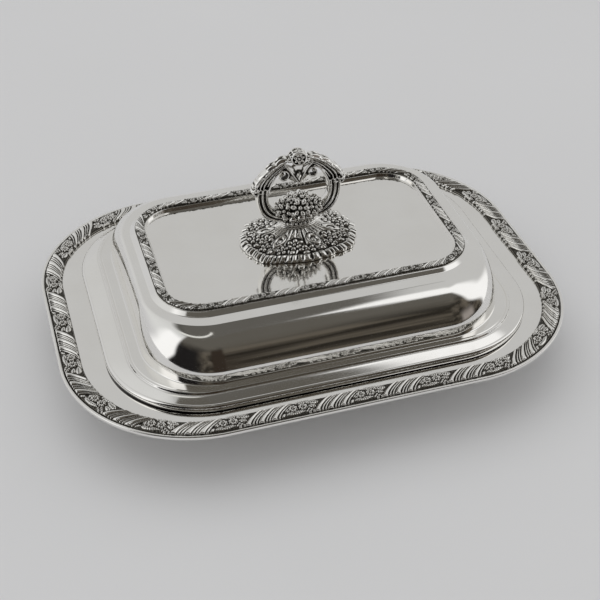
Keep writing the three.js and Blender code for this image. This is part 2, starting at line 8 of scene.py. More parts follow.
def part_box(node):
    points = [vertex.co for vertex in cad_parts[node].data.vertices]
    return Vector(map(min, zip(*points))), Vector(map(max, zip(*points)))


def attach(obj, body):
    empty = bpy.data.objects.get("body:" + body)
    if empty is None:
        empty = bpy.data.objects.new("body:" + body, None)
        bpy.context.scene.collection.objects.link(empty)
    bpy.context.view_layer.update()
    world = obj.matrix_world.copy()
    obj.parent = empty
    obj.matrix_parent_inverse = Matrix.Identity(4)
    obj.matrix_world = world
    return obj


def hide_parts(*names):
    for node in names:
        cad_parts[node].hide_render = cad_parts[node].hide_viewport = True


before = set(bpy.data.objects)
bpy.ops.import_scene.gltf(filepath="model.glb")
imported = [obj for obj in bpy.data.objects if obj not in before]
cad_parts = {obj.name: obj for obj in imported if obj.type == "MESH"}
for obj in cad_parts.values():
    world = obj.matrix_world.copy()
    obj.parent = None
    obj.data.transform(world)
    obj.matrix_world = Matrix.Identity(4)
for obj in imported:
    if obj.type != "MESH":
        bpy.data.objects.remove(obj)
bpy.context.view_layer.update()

# Sizes are millimetres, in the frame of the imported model, and MM turns them into metres.
MM = 0.001


def node_box(name):
    low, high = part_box(name)
    return [value / MM for value in low], [value / MM for value in high]


# Levels and edges that the frame gives
wire_low, wire_high = node_box("rim_edge_wire")
band_low, band_high = node_box("cover_edge_band")
foot_low, foot_high = node_box("handle_foot")
bouquet_low, bouquet_high = node_box("handle_bouquet")
collar_low, collar_high = node_box("handle_collar")
rosette_low, rosette_high = node_box("handle_rosette")

JOINT_GAP = 0.3
BED_GAP = 0.02  # between a border and the sheet under it
RIM_TOP = node_box("dish_body")[1][2]
PANEL_TOP = foot_low[2] - JOINT_GAP

# Dish
DISH_CORNER = 78.4
DISH_SHEET = 1.3
RIM_WIRE_WIDTH = 1.5
WIRE_SQUARENESS = 0.6  # power that swells its section, 1 for an oval
RIM_BORDER_WIDTH = 10.8
RIM_BORDER_RISE = 2.5  # crown of the border over the rim
RIM_BORDER_REPEATS = 23
RIM_BORDER_START = 366.8  # along the border from the middle of the +X end to a group's start
RIM_FALL = 0.55  # from the cover's seat out to the border
RIM_FALL_START = 3  # in from the cover's edge
RIM_ROUNDINGS = (0.6, 3)
RIM_FLAT_AT_ENDS = 12.5
RIM_FLAT_AT_SIDES = 5.8
SEAT_AT_ENDS = 23.9
SEAT_AT_SIDES = 19.3
MOUTH_CORNER = 38
MOUTH_BEND = 4
WELL_LEAN = 15
FLOOR_CORNER = 27
FLOOR_BEND = 9

# Cover
COVER_CORNER = 56.3
COVER_SHEET = 1.2
BAND_ROUND = 2
BAND_OVERLAP = 0.5
# The seam lines under the band are painted black, as the seam's shadow.
SEAM_LINES = ((0.35, 0), (0.3, 0.2), (0.1, 0.4))  # under the band: inset and height of each line
SEAM_GAPS = ((-121, -56, 28, 1.1), (124, 20, 34, 0.5))  # where it gapes: middle, reach and height
FLANGE_AT_ENDS = 9.8
FLANGE_AT_SIDES = 5.2
FLANGE_CORNER = 42
FLANGE_RISE = 2.6
FLANGE_LINE = 0.8  # level line inside the flange's slope
FLANGE_INSET = 1.9  # of its outer edge
FLANGE_MIDDLE = 0.505  # share of its rise in the middle of the slope
STEP_RUN = 0.5
STEP_RISE = 1.2
LEDGE_AT_ENDS = 7
LEDGE_AT_SIDES = 3.6
LEDGE_CORNER = 41
LEDGE_RISE = 0.1
LEDGE_BEAD = 1.1  # width of the bead along its outer edge
LEDGE_GROOVE = ((0.3, -0.25), (0.7, 0.05))  # inset from the bead, and height over it
FOOT_BEAD = 0.5
BULGE_AT_ENDS = 4.6
BULGE_AT_SIDES = 17.9
BULGE_CORNER = 36.4
BULGE_SHARES = (0, 0.2, 0.225, 1)
BULGE_DEGREES = (4.5, 9.2, 20, 66)
SHOULDER_BEND = 1.6
SHOULDER_WIDTH_AT_ENDS = 4.7
SHOULDER_WIDTH_AT_SIDES = 6.7
SHOULDER_HEIGHT = 34.1
SHOULDER_FALL = 0.3
RIDGE_SLOPE = 2.6
RIDGE_RISE = 2.1
RIDGE_TOP_WIDTH = 6.4
RIDGE_INNER_SLOPE = 0.7
LOW_ROUNDINGS = (2, 0.3, 0.3, 0.3, 0, 0, 0, 0.3)  # from the flange's edge up to the convex side
HIGH_ROUNDINGS = (0.7, 0.5, 0.4, 0.4, 0.3)  # from the shoulder up to the panel
TOP_BORDER_WIDTH = 5.6
TOP_BORDER_RISE = 1.9
TOP_BORDER_REPEATS = 18
TOP_BORDER_START = 216
GROUND_TARNISH = 0.8  # how dark the ground between the ornaments is

# Handle
FOOT_LOBES = 24
FOOT_LOBE = 0.75
FOOT_CORNERS = 8  # swells of its outline
FOOT_REPEATS = 6
FOOT_RIBS = 11  # in one repeat
FOOT_ROUND = 205  # length of its edge, and of its neck
NECK_ROUND = 50
FOOT_SLOPE = 21
FOOT_RELIEF = 0.95
FOOT_WALL = 1.6
FOOT_FULLNESS = 1.3
NECK_HALF = np.array([10.2, 5.2])
STUD_BORE = 2.65
STUD_BORE_DEPTH = 6
STUD_BOSS = (1.65, 1.7)  # at its foot and roof, in bores
FOOT_ROOF = 3.2  # thickness over the hollow
COLLAR_OVERLAP = 0.25
LOOP_REACH = 21.7
LOOP_RISE = 41
ARM_WIDTH = 7.4
ARM_DEPTH = 7.2
CUP_LIFT = 1.9  # over the rosette of the CAD
CUP_HEIGHT = (rosette_low[2] + rosette_high[2]) / 2 + CUP_LIFT

LONGEST_ROUNDING = 0.48  # share of a flank that a rounding may take

# Fineness of the meshes
CORNER_STEPS = 40
STRAIGHT_STEPS = 16
BULGE_STEPS = 76
RELIEF_STEP = 0.24
TOP_RELIEF_STEP = RELIEF_STEP * 0.8
FOOT_ROUND_STEPS = 720
FOOT_RADIAL_STEPS = 96
CAST_VOXEL = 0.24
ROUNDING_STEPS = 6
BEND_STEPS = 8
BAND_STEPS = 9
WIRE_STEPS = 16
COLLAR_STEPS = 160
COLLAR_ROWS = 24

# Stage. The camera is fitted to the photo's lines of the rim, the cover and the border.
FLOOR_HALF = 3000
FLOOR_LIGHT = 0.68  # even light of the tent on the floor
CAMERA_TARGET = (-4.008, -16.410, RIM_TOP)
CAMERA_AZIMUTH = -0.29468
CAMERA_ELEVATION = 0.66105
CAMERA_ROLL = -0.00439
CAMERA_DISTANCE = 699.579
CAMERA_LENS = 70.351
SENSOR_WIDTH = 36
CLIP_RANGE = (0.01, 50)
LAMP_DIRECTION = (-0.2, 0.35, 1)
LAMP_SOFTNESS = 70  # degrees
LAMP_STRENGTH = 0.45


# Meshes

def add_object(name, data):
    obj = bpy.data.objects.new(name, data)
    bpy.context.scene.collection.objects.link(obj)
    return obj


def make_object(name, verts, faces, material, sharp_degrees=None):
    mesh = bpy.data.meshes.new(name)
    mesh.from_pydata((np.asarray(verts) * MM).tolist(), [], faces)
    mesh.polygons.foreach_set("use_smooth", [True] * len(mesh.polygons))
    if sharp_degrees is not None:
        mesh.set_sharp_from_angle(angle=math.radians(sharp_degrees))
    mesh.materials.append(material)
    mesh.update()
    return add_object(name, mesh)


def grid_faces(rows, columns, ends):
    """Quads between rows of points that close on themselves. The ends are joined, capped or open."""
    row = np.arange(rows if ends == "joined" else rows - 1)[:, None] * columns
    following = (row + columns) % (rows * columns)
    here = np.arange(columns)[None, :]
    after = (here + 1) % columns
    quads = np.stack([row + here, row + after, following + after, following + here], -1)
    faces = quads.reshape(-1, 4).tolist()
    if ends == "capped":
        first, last = list(range(columns)), (rows - 1) * columns
        faces += [first[::-1], [last + index for index in first]]
    return faces


def make_tube(name, rings, ends, material, sharp_degrees):
    faces = grid_faces(len(rings), len(rings[0]), ends)
    return make_object(name, np.concatenate(rings), faces, material, sharp_degrees)


def at_height(flat, z):
    return np.column_stack([flat, np.broadcast_to(z, len(flat))])


def turns(count):
    """Even steps round a full turn."""
    return np.arange(count) / count * 2 * math.pi


def around(angle):
    return np.stack([np.cos(angle), np.sin(angle)], -1)


def powered(values, power):
    """The size of each value raised to the power, with its sign kept."""
    return np.sign(values) * np.abs(values) ** power


def unit(vectors):
    vectors = np.asarray(vectors, float)
    return vectors / np.linalg.norm(vectors, axis=-1, keepdims=True)


# Stations are rounded rectangles with a height: half length, half width, corner radius, height

def inset(station, at_ends, at_sides=None, corner=None, z=None):
    x, y, r, height = station
    at_sides = at_ends if at_sides is None else at_sides
    r = r - (at_ends + at_sides) / 2 if corner is None else corner
    return np.array([x - at_ends, y - at_sides, r, height if z is None else z])


def raised(station, z):
    return inset(station, 0, z=z)


def ring(station):
    x, y, r, z = station
    corners = np.array([(x - r, y - r), (r - x, y - r), (r - x, r - y), (x - r, r - y)])
    share = np.arange(1, STRAIGHT_STEPS)[:, None] / STRAIGHT_STEPS
    points = []
    for quarter, corner in enumerate(corners):
        arc = corner + r * around((quarter + np.linspace(0, 1, CORNER_STEPS + 1)) * math.pi / 2)
        target = corners[(quarter + 1) % 4] + (arc[-1] - corner)
        points += [arc, arc[-1] + share * (target - arc[-1])]
    return at_height(np.concatenate(points), z)


def soften(keys, reaches):
    """Rounds the inner keys of a profile, each over its own reach to both sides."""
    out = [keys[0]]
    for before, key, after, reach in zip(keys, keys[1:], keys[2:], reaches):
        if not reach:
            out.append(key)
            continue
        ends = []
        for other in (before, after):
            away = other - key
            length = math.hypot((away[0] + away[1]) / 2, away[3])
            ends.append(key + away * min(reach / length, LONGEST_ROUNDING))
        for share in np.linspace(0, 1, ROUNDING_STEPS + 1):
            first = ends[0] + (key - ends[0]) * share
            second = key + (ends[1] - key) * share
            out.append(first + (second - first) * share)
    out.append(keys[-1])
    return out


def offset_skin(skin, thickness):
    out = []
    for i, station in enumerate(skin):
        before = skin[max(i - 1, 0)]
        after = skin[min(i + 1, len(skin) - 1)]
        run = (before[0] + before[1] - after[0] - after[1]) / 2
        rise = after[3] - before[3]
        size = math.hypot(run, rise)
        moved = inset(station, thickness * rise / size)
        out.append(raised(moved, station[3] - thickness * run / size))
    return out


def loft(name, stations, material, ends="capped", sharp_degrees=35):
    return make_tube(name, [ring(station) for station in stations], ends, material, sharp_degrees)


def sheet(name, skin, thickness, material):
    return loft(name, offset_skin(skin, thickness)[::-1] + skin, material)


# Outlines, each derived from the one outside it
dish_edge = np.array([wire_high[0], wire_high[1], DISH_CORNER, RIM_TOP])
wire_inside = inset(dish_edge, RIM_WIRE_WIDTH)
sheet_edge = inset(wire_inside, JOINT_GAP)
border_inside = inset(sheet_edge, RIM_BORDER_WIDTH)
cover_edge = inset(border_inside, RIM_FLAT_AT_ENDS, RIM_FLAT_AT_SIDES, COVER_CORNER)
mouth = inset(cover_edge, SEAT_AT_ENDS, SEAT_AT_SIDES, MOUTH_CORNER)
flange_edge = inset(cover_edge, FLANGE_INSET, z=band_high[2])
step_top = band_high[2] + FLANGE_RISE + STEP_RISE
ledge_top = step_top + LEDGE_RISE
shoulder_top = RIM_TOP + SHOULDER_HEIGHT
ridge_top = shoulder_top + RIDGE_RISE
flange_inner = inset(flange_edge, FLANGE_AT_ENDS, FLANGE_AT_SIDES, FLANGE_CORNER, band_high[2] + FLANGE_RISE)
step_edge = inset(flange_inner, STEP_RUN, z=step_top)
ledge_inner = inset(step_edge, LEDGE_AT_ENDS, LEDGE_AT_SIDES, LEDGE_CORNER, ledge_top)
bulge_foot = inset(ledge_inner, FOOT_BEAD, z=ledge_top + FOOT_BEAD)
shoulder_low = shoulder_top - SHOULDER_FALL
bulge_top = inset(bulge_foot, BULGE_AT_ENDS, BULGE_AT_SIDES, BULGE_CORNER, shoulder_low - SHOULDER_BEND / 2)
shoulder_edge = inset(bulge_top, SHOULDER_BEND, z=shoulder_low)
slope_foot = inset(shoulder_edge, SHOULDER_WIDTH_AT_ENDS, SHOULDER_WIDTH_AT_SIDES, z=shoulder_top)
ridge_edge = inset(slope_foot, RIDGE_SLOPE, z=ridge_top)
ridge_inside = inset(ridge_edge, RIDGE_TOP_WIDTH)
panel_edge = inset(ridge_inside, RIDGE_INNER_SLOPE, z=PANEL_TOP)


# Sheet pieces

def quarter_bend(start, end, starts_level):
    out = []
    for angle in np.linspace(0, math.pi / 2, BEND_STEPS + 1):
        across = math.sin(angle) if starts_level else 1 - math.cos(angle)
        down = 1 - math.cos(angle) if starts_level else math.sin(angle)
        station = start + (end - start) * across
        out.append(raised(station, start[3] + (end[3] - start[3]) * down))
    return out


def make_dish_body(material):
    fallen = RIM_TOP - RIM_FALL
    mouth_outside = inset(mouth, -MOUTH_BEND)
    floor = inset(mouth, WELL_LEAN, corner=FLOOR_CORNER, z=DISH_SHEET)
    floor_outside = inset(floor, -FLOOR_BEND, z=DISH_SHEET + FLOOR_BEND)
    keys = [raised(sheet_edge, fallen), raised(border_inside, fallen), inset(cover_edge, RIM_FALL_START),
            mouth_outside]
    skin = soften(keys, RIM_ROUNDINGS)[:-1]
    skin += quarter_bend(mouth_outside, raised(mouth, RIM_TOP - MOUTH_BEND), True)
    skin += quarter_bend(floor_outside, floor, False)
    skin.append(inset(floor, FLOOR_BEND))
    return sheet("dish_body_sheet", skin, DISH_SHEET, material)


def make_rim_wire(material):
    """A wire that is rounded on all sides."""
    inner = inset(wire_inside, JOINT_GAP)
    middle_z = (wire_low[2] + wire_high[2]) / 2
    half_height = (wire_high[2] - wire_low[2]) / 2
    stations = []
    for angle in turns(WIRE_STEPS):
        across, up = powered(around(angle), WIRE_SQUARENESS)
        station = inner + (dish_edge - inner) * (1 + across) / 2
        stations.append(raised(station, middle_z + up * half_height))
    return loft("rim_edge_wire_bead", stations, material, "joined", 60)


def bulge():
    """The convex side, laid out by how far it leans in at each share of its height."""
    share = np.linspace(0, 1, BULGE_STEPS + 1)
    lean = np.radians(np.interp(share, BULGE_SHARES, BULGE_DEGREES))
    lean = (lean[1:] + lean[:-1]) / 2
    in_share = np.concatenate([[0], np.cumsum(np.sin(lean))]) / np.sin(lean).sum()
    up_share = np.concatenate([[0], np.cumsum(np.cos(lean))]) / np.cos(lean).sum()
    out = []
    for inward, up in zip(in_share, up_share):
        station = bulge_foot + (bulge_top - bulge_foot) * inward
        out.append(raised(station, bulge_foot[3] + (bulge_top[3] - bulge_foot[3]) * up))
    return out


def make_cover_body(material):
    slope_end = inset(flange_inner, -FLANGE_LINE)
    middle = raised((flange_edge + slope_end) / 2, band_high[2] + FLANGE_MIDDLE * FLANGE_RISE)
    bead = inset(step_edge, LEDGE_BEAD)
    groove = [inset(bead, inward, z=step_top + up) for inward, up in LEDGE_GROOVE]
    low = [flange_edge, middle, slope_end, flange_inner, step_edge, bead, *groove, ledge_inner, bulge_foot]
    high = [bulge_top, shoulder_edge, slope_foot, ridge_edge, ridge_inside, panel_edge,
            inset(panel_edge, RIDGE_TOP_WIDTH)]
    skin = soften(low, LOW_ROUNDINGS)[:-1] + bulge() + soften(high, HIGH_ROUNDINGS)[1:]
    return sheet("cover_body_sheet", skin, COVER_SHEET, material)


def deepen_seam(band, indices):
    """The seam gapes at the left end and along the right, where the cover's edge is bent up."""
    for index in indices:
        point = band.data.vertices[index].co
        rise = 0
        for x, y, reach, height in SEAM_GAPS:
            away = (point.x / MM - x) ** 2 + (point.y / MM - y) ** 2
            rise += height * math.exp(-away / (2 * reach ** 2))
        point.z += rise * MM


def make_edge_band(material):
    """The lower edge of the cover, rounded over into its flange, with the seam below it painted black as
    shadow.
    """
    low, top = band_low[2], band_high[2]
    inner = inset(cover_edge, BAND_ROUND + BAND_OVERLAP)
    centre = inset(cover_edge, BAND_ROUND, z=top - BAND_ROUND)
    stations = [raised(inner, low)]
    stations += [inset(cover_edge, inward, z=low + up) for inward, up in SEAM_LINES]
    for angle in np.linspace(0, math.pi / 2, BAND_STEPS + 1):
        rounded = inset(centre, -BAND_ROUND * math.cos(angle))
        stations.append(raised(rounded, centre[3] + BAND_ROUND * math.sin(angle)))
    stations.append(raised(inner, top))
    band = loft("cover_edge_band_round", stations, material, "joined", 50)
    count = len(band.data.vertices) // len(stations)
    dark = len(SEAM_LINES)
    deepen_seam(band, range(2 * count, (dark + 1) * count))
    # The seam lines are painted black: painted shadow in the gap under the cover's edge.
    set_tarnish_and_seam_shadow(band, np.repeat([1.0] * dark + [0.0] * (len(stations) - dark), count))
    return band


# Relief borders: one repeat is worked out as a map of heights, then laid round the outline

def path_length(station):
    x, y, r = station[:3]
    return 4 * (x - r) + 4 * (y - r) + 2 * math.pi * r


def walk(station, along):
    """Points and outward directions at distances anticlockwise from the middle of the +X end."""
    x, y, r = station[:3]
    cx, cy = x - r, y - r
    arc = r * math.pi / 2
    knots = np.cumsum([0, cy, arc, 2 * cx, arc, 2 * cy, arc, 2 * cx, arc, cy])
    along = np.mod(along, knots[-1])
    centre_x = np.interp(along, knots, [cx, cx, cx, -cx, -cx, -cx, -cx, cx, cx, cx])
    centre_y = np.interp(along, knots, [0, cy, cy, cy, cy, -cy, -cy, -cy, -cy, 0])
    quarters = np.interp(along, knots, [0, 0, 1, 1, 2, 2, 3, 3, 4, 4])
    outward = around(quarters * math.pi / 2)
    return np.stack([centre_x, centre_y], -1) + r * outward, outward


def dome(distance, reach, height):
    return height * np.sqrt(np.clip(1 - (distance / reach) ** 2, 0, 1))


def fade(value, start, end):
    share = np.clip((value - start) / (end - start), 0, 1)
    return share * share * (3 - 2 * share)


def window(value, start, full, waning, end):
    """1 from full to waning, and 0 before the start and after the end."""
    return fade(value, start, full) * (1 - fade(value, waning, end))


class Relief:
    """Heights over one repeat: u runs along it and w from its outer edge to its inner one."""

    def __init__(self, u, w, run):
        """The run is the length of the repeat, in units of w."""
        self.u, self.w, self.run = u, w, run
        self.heights = np.zeros_like(u)

    def raise_to(self, heights):
        self.heights = np.maximum(self.heights, heights)

    def clear(self, near, height):
        """Cuts what stands near down to a height."""
        self.heights = np.where(near, np.minimum(self.heights, height), self.heights)

    def local(self, u, w):
        """Distances from a point, the short way round the repeat."""
        du = np.mod(self.u - u + 0.5, 1) - 0.5
        return du * self.run, self.w - w

    def daisy(self, u, w, radius, petals, height):
        """A flower head: round petals in a sunk ground, about a boss with a dark ring."""
        across, up = self.local(u, w)
        reach = np.hypot(across, up)
        self.clear(reach < 1.12 * radius, 0.1)
        step = 2 * math.pi / petals
        angle = np.mod(np.arctan2(up, across), step) - step / 2
        along = (reach * np.cos(angle) - 0.68 * radius) / (0.36 * radius)
        beside = reach * np.sin(angle) / (0.29 * radius)
        self.raise_to(dome(np.hypot(along, beside), 1, 0.9 * height))
        self.raise_to(dome(reach, 0.2 * radius, height))

    def berry(self, u, w, radius, height):
        across, up = self.local(u, w)
        reach = np.hypot(across, up)
        self.clear(reach < 1.3 * radius, 0.05)
        self.raise_to(dome(reach, radius, height))

    def leaf(self, u, w, length, half_width, degrees, veins, height):
        """A pointed leaf from its stalk, with a sunk midrib and slanted veins."""
        across, up = self.local(u, w)
        turn = math.radians(degrees)
        along = (across * math.cos(turn) + up * math.sin(turn)) / length
        beside = up * math.cos(turn) - across * math.sin(turn)
        inside = (along > 0) & (along < 1)
        share = np.clip(along, 0, 1)
        half = half_width * np.sin(math.pi * share ** 0.7) + 1e-4
        off = np.abs(beside) / half
        vein = 0.82 + 0.18 * np.cos(2 * math.pi * (veins * share - 0.8 * off))
        rib = 1 - 0.55 * np.exp(-((beside / (0.18 * half_width)) ** 2))
        surface = height * np.sqrt(np.clip(1 - off ** 2, 0, 1)) * vein * rib
        self.raise_to(np.where(inside & (off < 1), surface, 0))


# The borders' ornament, in shares of a repeat along it and of the width from its outer edge inwards
BORDER_LEAVES = (  # places along, then place inwards, length, half width, degrees, veins, height
    ((0.58, 0.70, 0.82, 0.94), (1.02, 0.26, 0.11, -70, 2, 0.8)),
    ((0.30, 0.42, 0.50), (1.02, 0.17, 0.1, -80, 2, 0.55)),
    ((0.56,), (0.64, 0.56, 0.2, 0, 5, 0.95)),
    ((0.60,), (0.21, 1.0, 0.13, 2, 9, 0.85)),
    ((0.50,), (0.14, 0.36, 0.1, 22, 3, 0.7)),
    ((0.78,), (0.84, 0.66, 0.12, 6, 6, 0.85)),
    ((1.10,), (0.70, 0.66, 0.16, 172, 5, 0.9)),
    ((1.05,), (0.44, 0.42, 0.13, 165, 3, 0.85)),
    ((0.80,), (0.36, 0.3, 0.08, -20, 3, 0.6)),
)
BORDER_LOBES = ((0.038, 0.75), (0.229, 0.85), (0.414, 0.8))  # place, share of its width at the inner edge
BORDER_RIBS = (0.112, 0.158, 0.303, 0.348, 0.486)
BORDER_FLOWERS = (0.717, 0.861)
BORDER_BERRIES = ((0.905, 0.18), (0.935, 0.3), (0.935, 0.1), (0.965, 0.21), (0.995, 0.11), (0.79, 0.84),
                  (0.64, 0.4))
LOBE_HALF_WIDTH = 0.042
RIB_HALF_WIDTH = 0.0135
LOBE_LEAN = 0.288
LOBE_CURL = 1.75
ORNAMENT_RISE = 0.46  # share of the crown
HOLLOW_REACH = 0.075  # how far round a point its surroundings count, as a share of the width
HOLLOW_DEPTH = 0.065  # share of the crown at which a hollow is black


def ornament(length, width, step):
    """Slanted lobes and ribs on one half of the repeat, flowers, berries and leaves on the other."""
    columns = max(int(round(length / step)), 8)
    rows = max(int(round(width / step)), 8)
    w, u = np.meshgrid(np.linspace(0, 1, rows), np.arange(columns) / columns, indexing="ij")
    relief = Relief(u, w, length / width)
    hatch = np.cos(2 * math.pi * (26 * u + 5 * w + 0.4 * np.sin(2 * math.pi * (3 * u + w))))
    relief.raise_to((0.08 + 0.06 * hatch) * window(w, 0.04, 0.1, 0.86, 0.92))
    for places, shape in BORDER_LEAVES:
        for place in places:
            relief.leaf(place, *shape)
    slant = np.mod(u - LOBE_LEAN * w ** LOBE_CURL + 0.1, 1) - 0.1
    lobed = window(slant, -0.012, 0.006, 0.515, 0.53)
    ends = window(w, 0.02, 0.08, 0.86, 0.94)
    relief.heights *= 1 - lobed * ends
    for place, narrow in BORDER_LOBES:
        half = LOBE_HALF_WIDTH * (1 - (1 - narrow) * w)
        relief.raise_to(dome(slant - place, half, 1.0) * ends)
    for place in BORDER_RIBS:
        relief.raise_to(dome(slant - place, RIB_HALF_WIDTH, 0.75) * ends)
    for place in BORDER_FLOWERS:
        relief.daisy(place, 0.53, 0.235, 8, 1.25)
    for place, inward in BORDER_BERRIES:
        relief.berry(place, inward, 0.07, 1.0)
    return relief


def border_section(w):
    """Share of the crown that the plain ground of the border has: low outer lip, high middle."""
    lip = 0.3 * np.exp(-(((w - 0.01) / 0.02) ** 2))
    ground = 0.6 * fade(w, 0.0, 0.1) * (1 - fade(w, 0.9, 1.0) * 0.75)
    return np.maximum(lip, ground)


def blurred(values, reach):
    """A mean over a square of cells. The map closes on itself along the border only."""
    shifts = np.arange(-reach, reach + 1)
    weights = 1 - np.abs(shifts) / (reach + 1)
    weights /= weights.sum()
    out = sum(weight * np.roll(values, shift, axis=1) for shift, weight in zip(shifts, weights))
    padded = np.pad(out, ((reach, reach), (0, 0)), mode="edge")
    return sum(weight * padded[start:start + len(values)] for start, weight in enumerate(weights))


# Dark of the castings' hollows, their patina, and on the edge band the painted shadow of the seam.
def set_tarnish_and_seam_shadow(obj, values):
    attribute = obj.data.attributes.new("tarnish_and_seam_shadow", "FLOAT", "POINT")
    attribute.data.foreach_set("value", np.clip(values, 0, 1).astype(np.float32))


def make_border(name, edge, width, bed, rise, repeats, start, step, material):
    """A relief along the inside of an edge, on a bed at a given height."""
    middle = inset(edge, width / 2)
    low = bed + BED_GAP
    length = path_length(middle) / repeats
    relief = ornament(length, width, step)
    heights = border_section(relief.w) * rise + relief.heights * rise * ORNAMENT_RISE
    heights *= rise / heights.max()
    reach = max(int(round(HOLLOW_REACH * width / step)), 2)
    hollow = (blurred(heights, reach) - heights) / (HOLLOW_DEPTH * rise)
    field = window(relief.w, 0.03, 0.09, 0.93, 0.98)
    hollow = np.maximum(hollow, GROUND_TARNISH * field * (1 - fade(relief.heights, 0.04, 0.3)))
    rows, columns = heights.shape
    along = start + np.arange(repeats * columns) * length / columns
    points, outward = walk(middle, along)
    rings = [at_height(points + outward * width * share, low) for share in (-0.5, 0.5)]
    for row in range(rows):
        flat = points + outward * width * (0.5 - row / (rows - 1))
        rings.append(at_height(flat, low + np.tile(heights[row], repeats)))
    obj = make_tube(name, rings, "joined", material, 75)
    tiled = np.tile(hollow, (1, repeats)).reshape(-1)
    set_tarnish_and_seam_shadow(obj, np.concatenate([np.zeros(2 * len(along)), tiled]))
    return obj


def make_rim_border(material):
    bed, rise = RIM_TOP - RIM_FALL, RIM_BORDER_RISE + RIM_FALL
    return make_border("rim_border_relief", sheet_edge, RIM_BORDER_WIDTH, bed, rise, RIM_BORDER_REPEATS,
                       RIM_BORDER_START, RELIEF_STEP, material)


def make_top_border(material):
    edge = inset(ridge_edge, (RIDGE_TOP_WIDTH - TOP_BORDER_WIDTH) / 2)
    return make_border("cover_top_border_relief", edge, TOP_BORDER_WIDTH, ridge_top, TOP_BORDER_RISE,
                       TOP_BORDER_REPEATS, TOP_BORDER_START, TOP_RELIEF_STEP, material)


# Cast pieces: closed forms that overlap are gathered, then fused into one skin

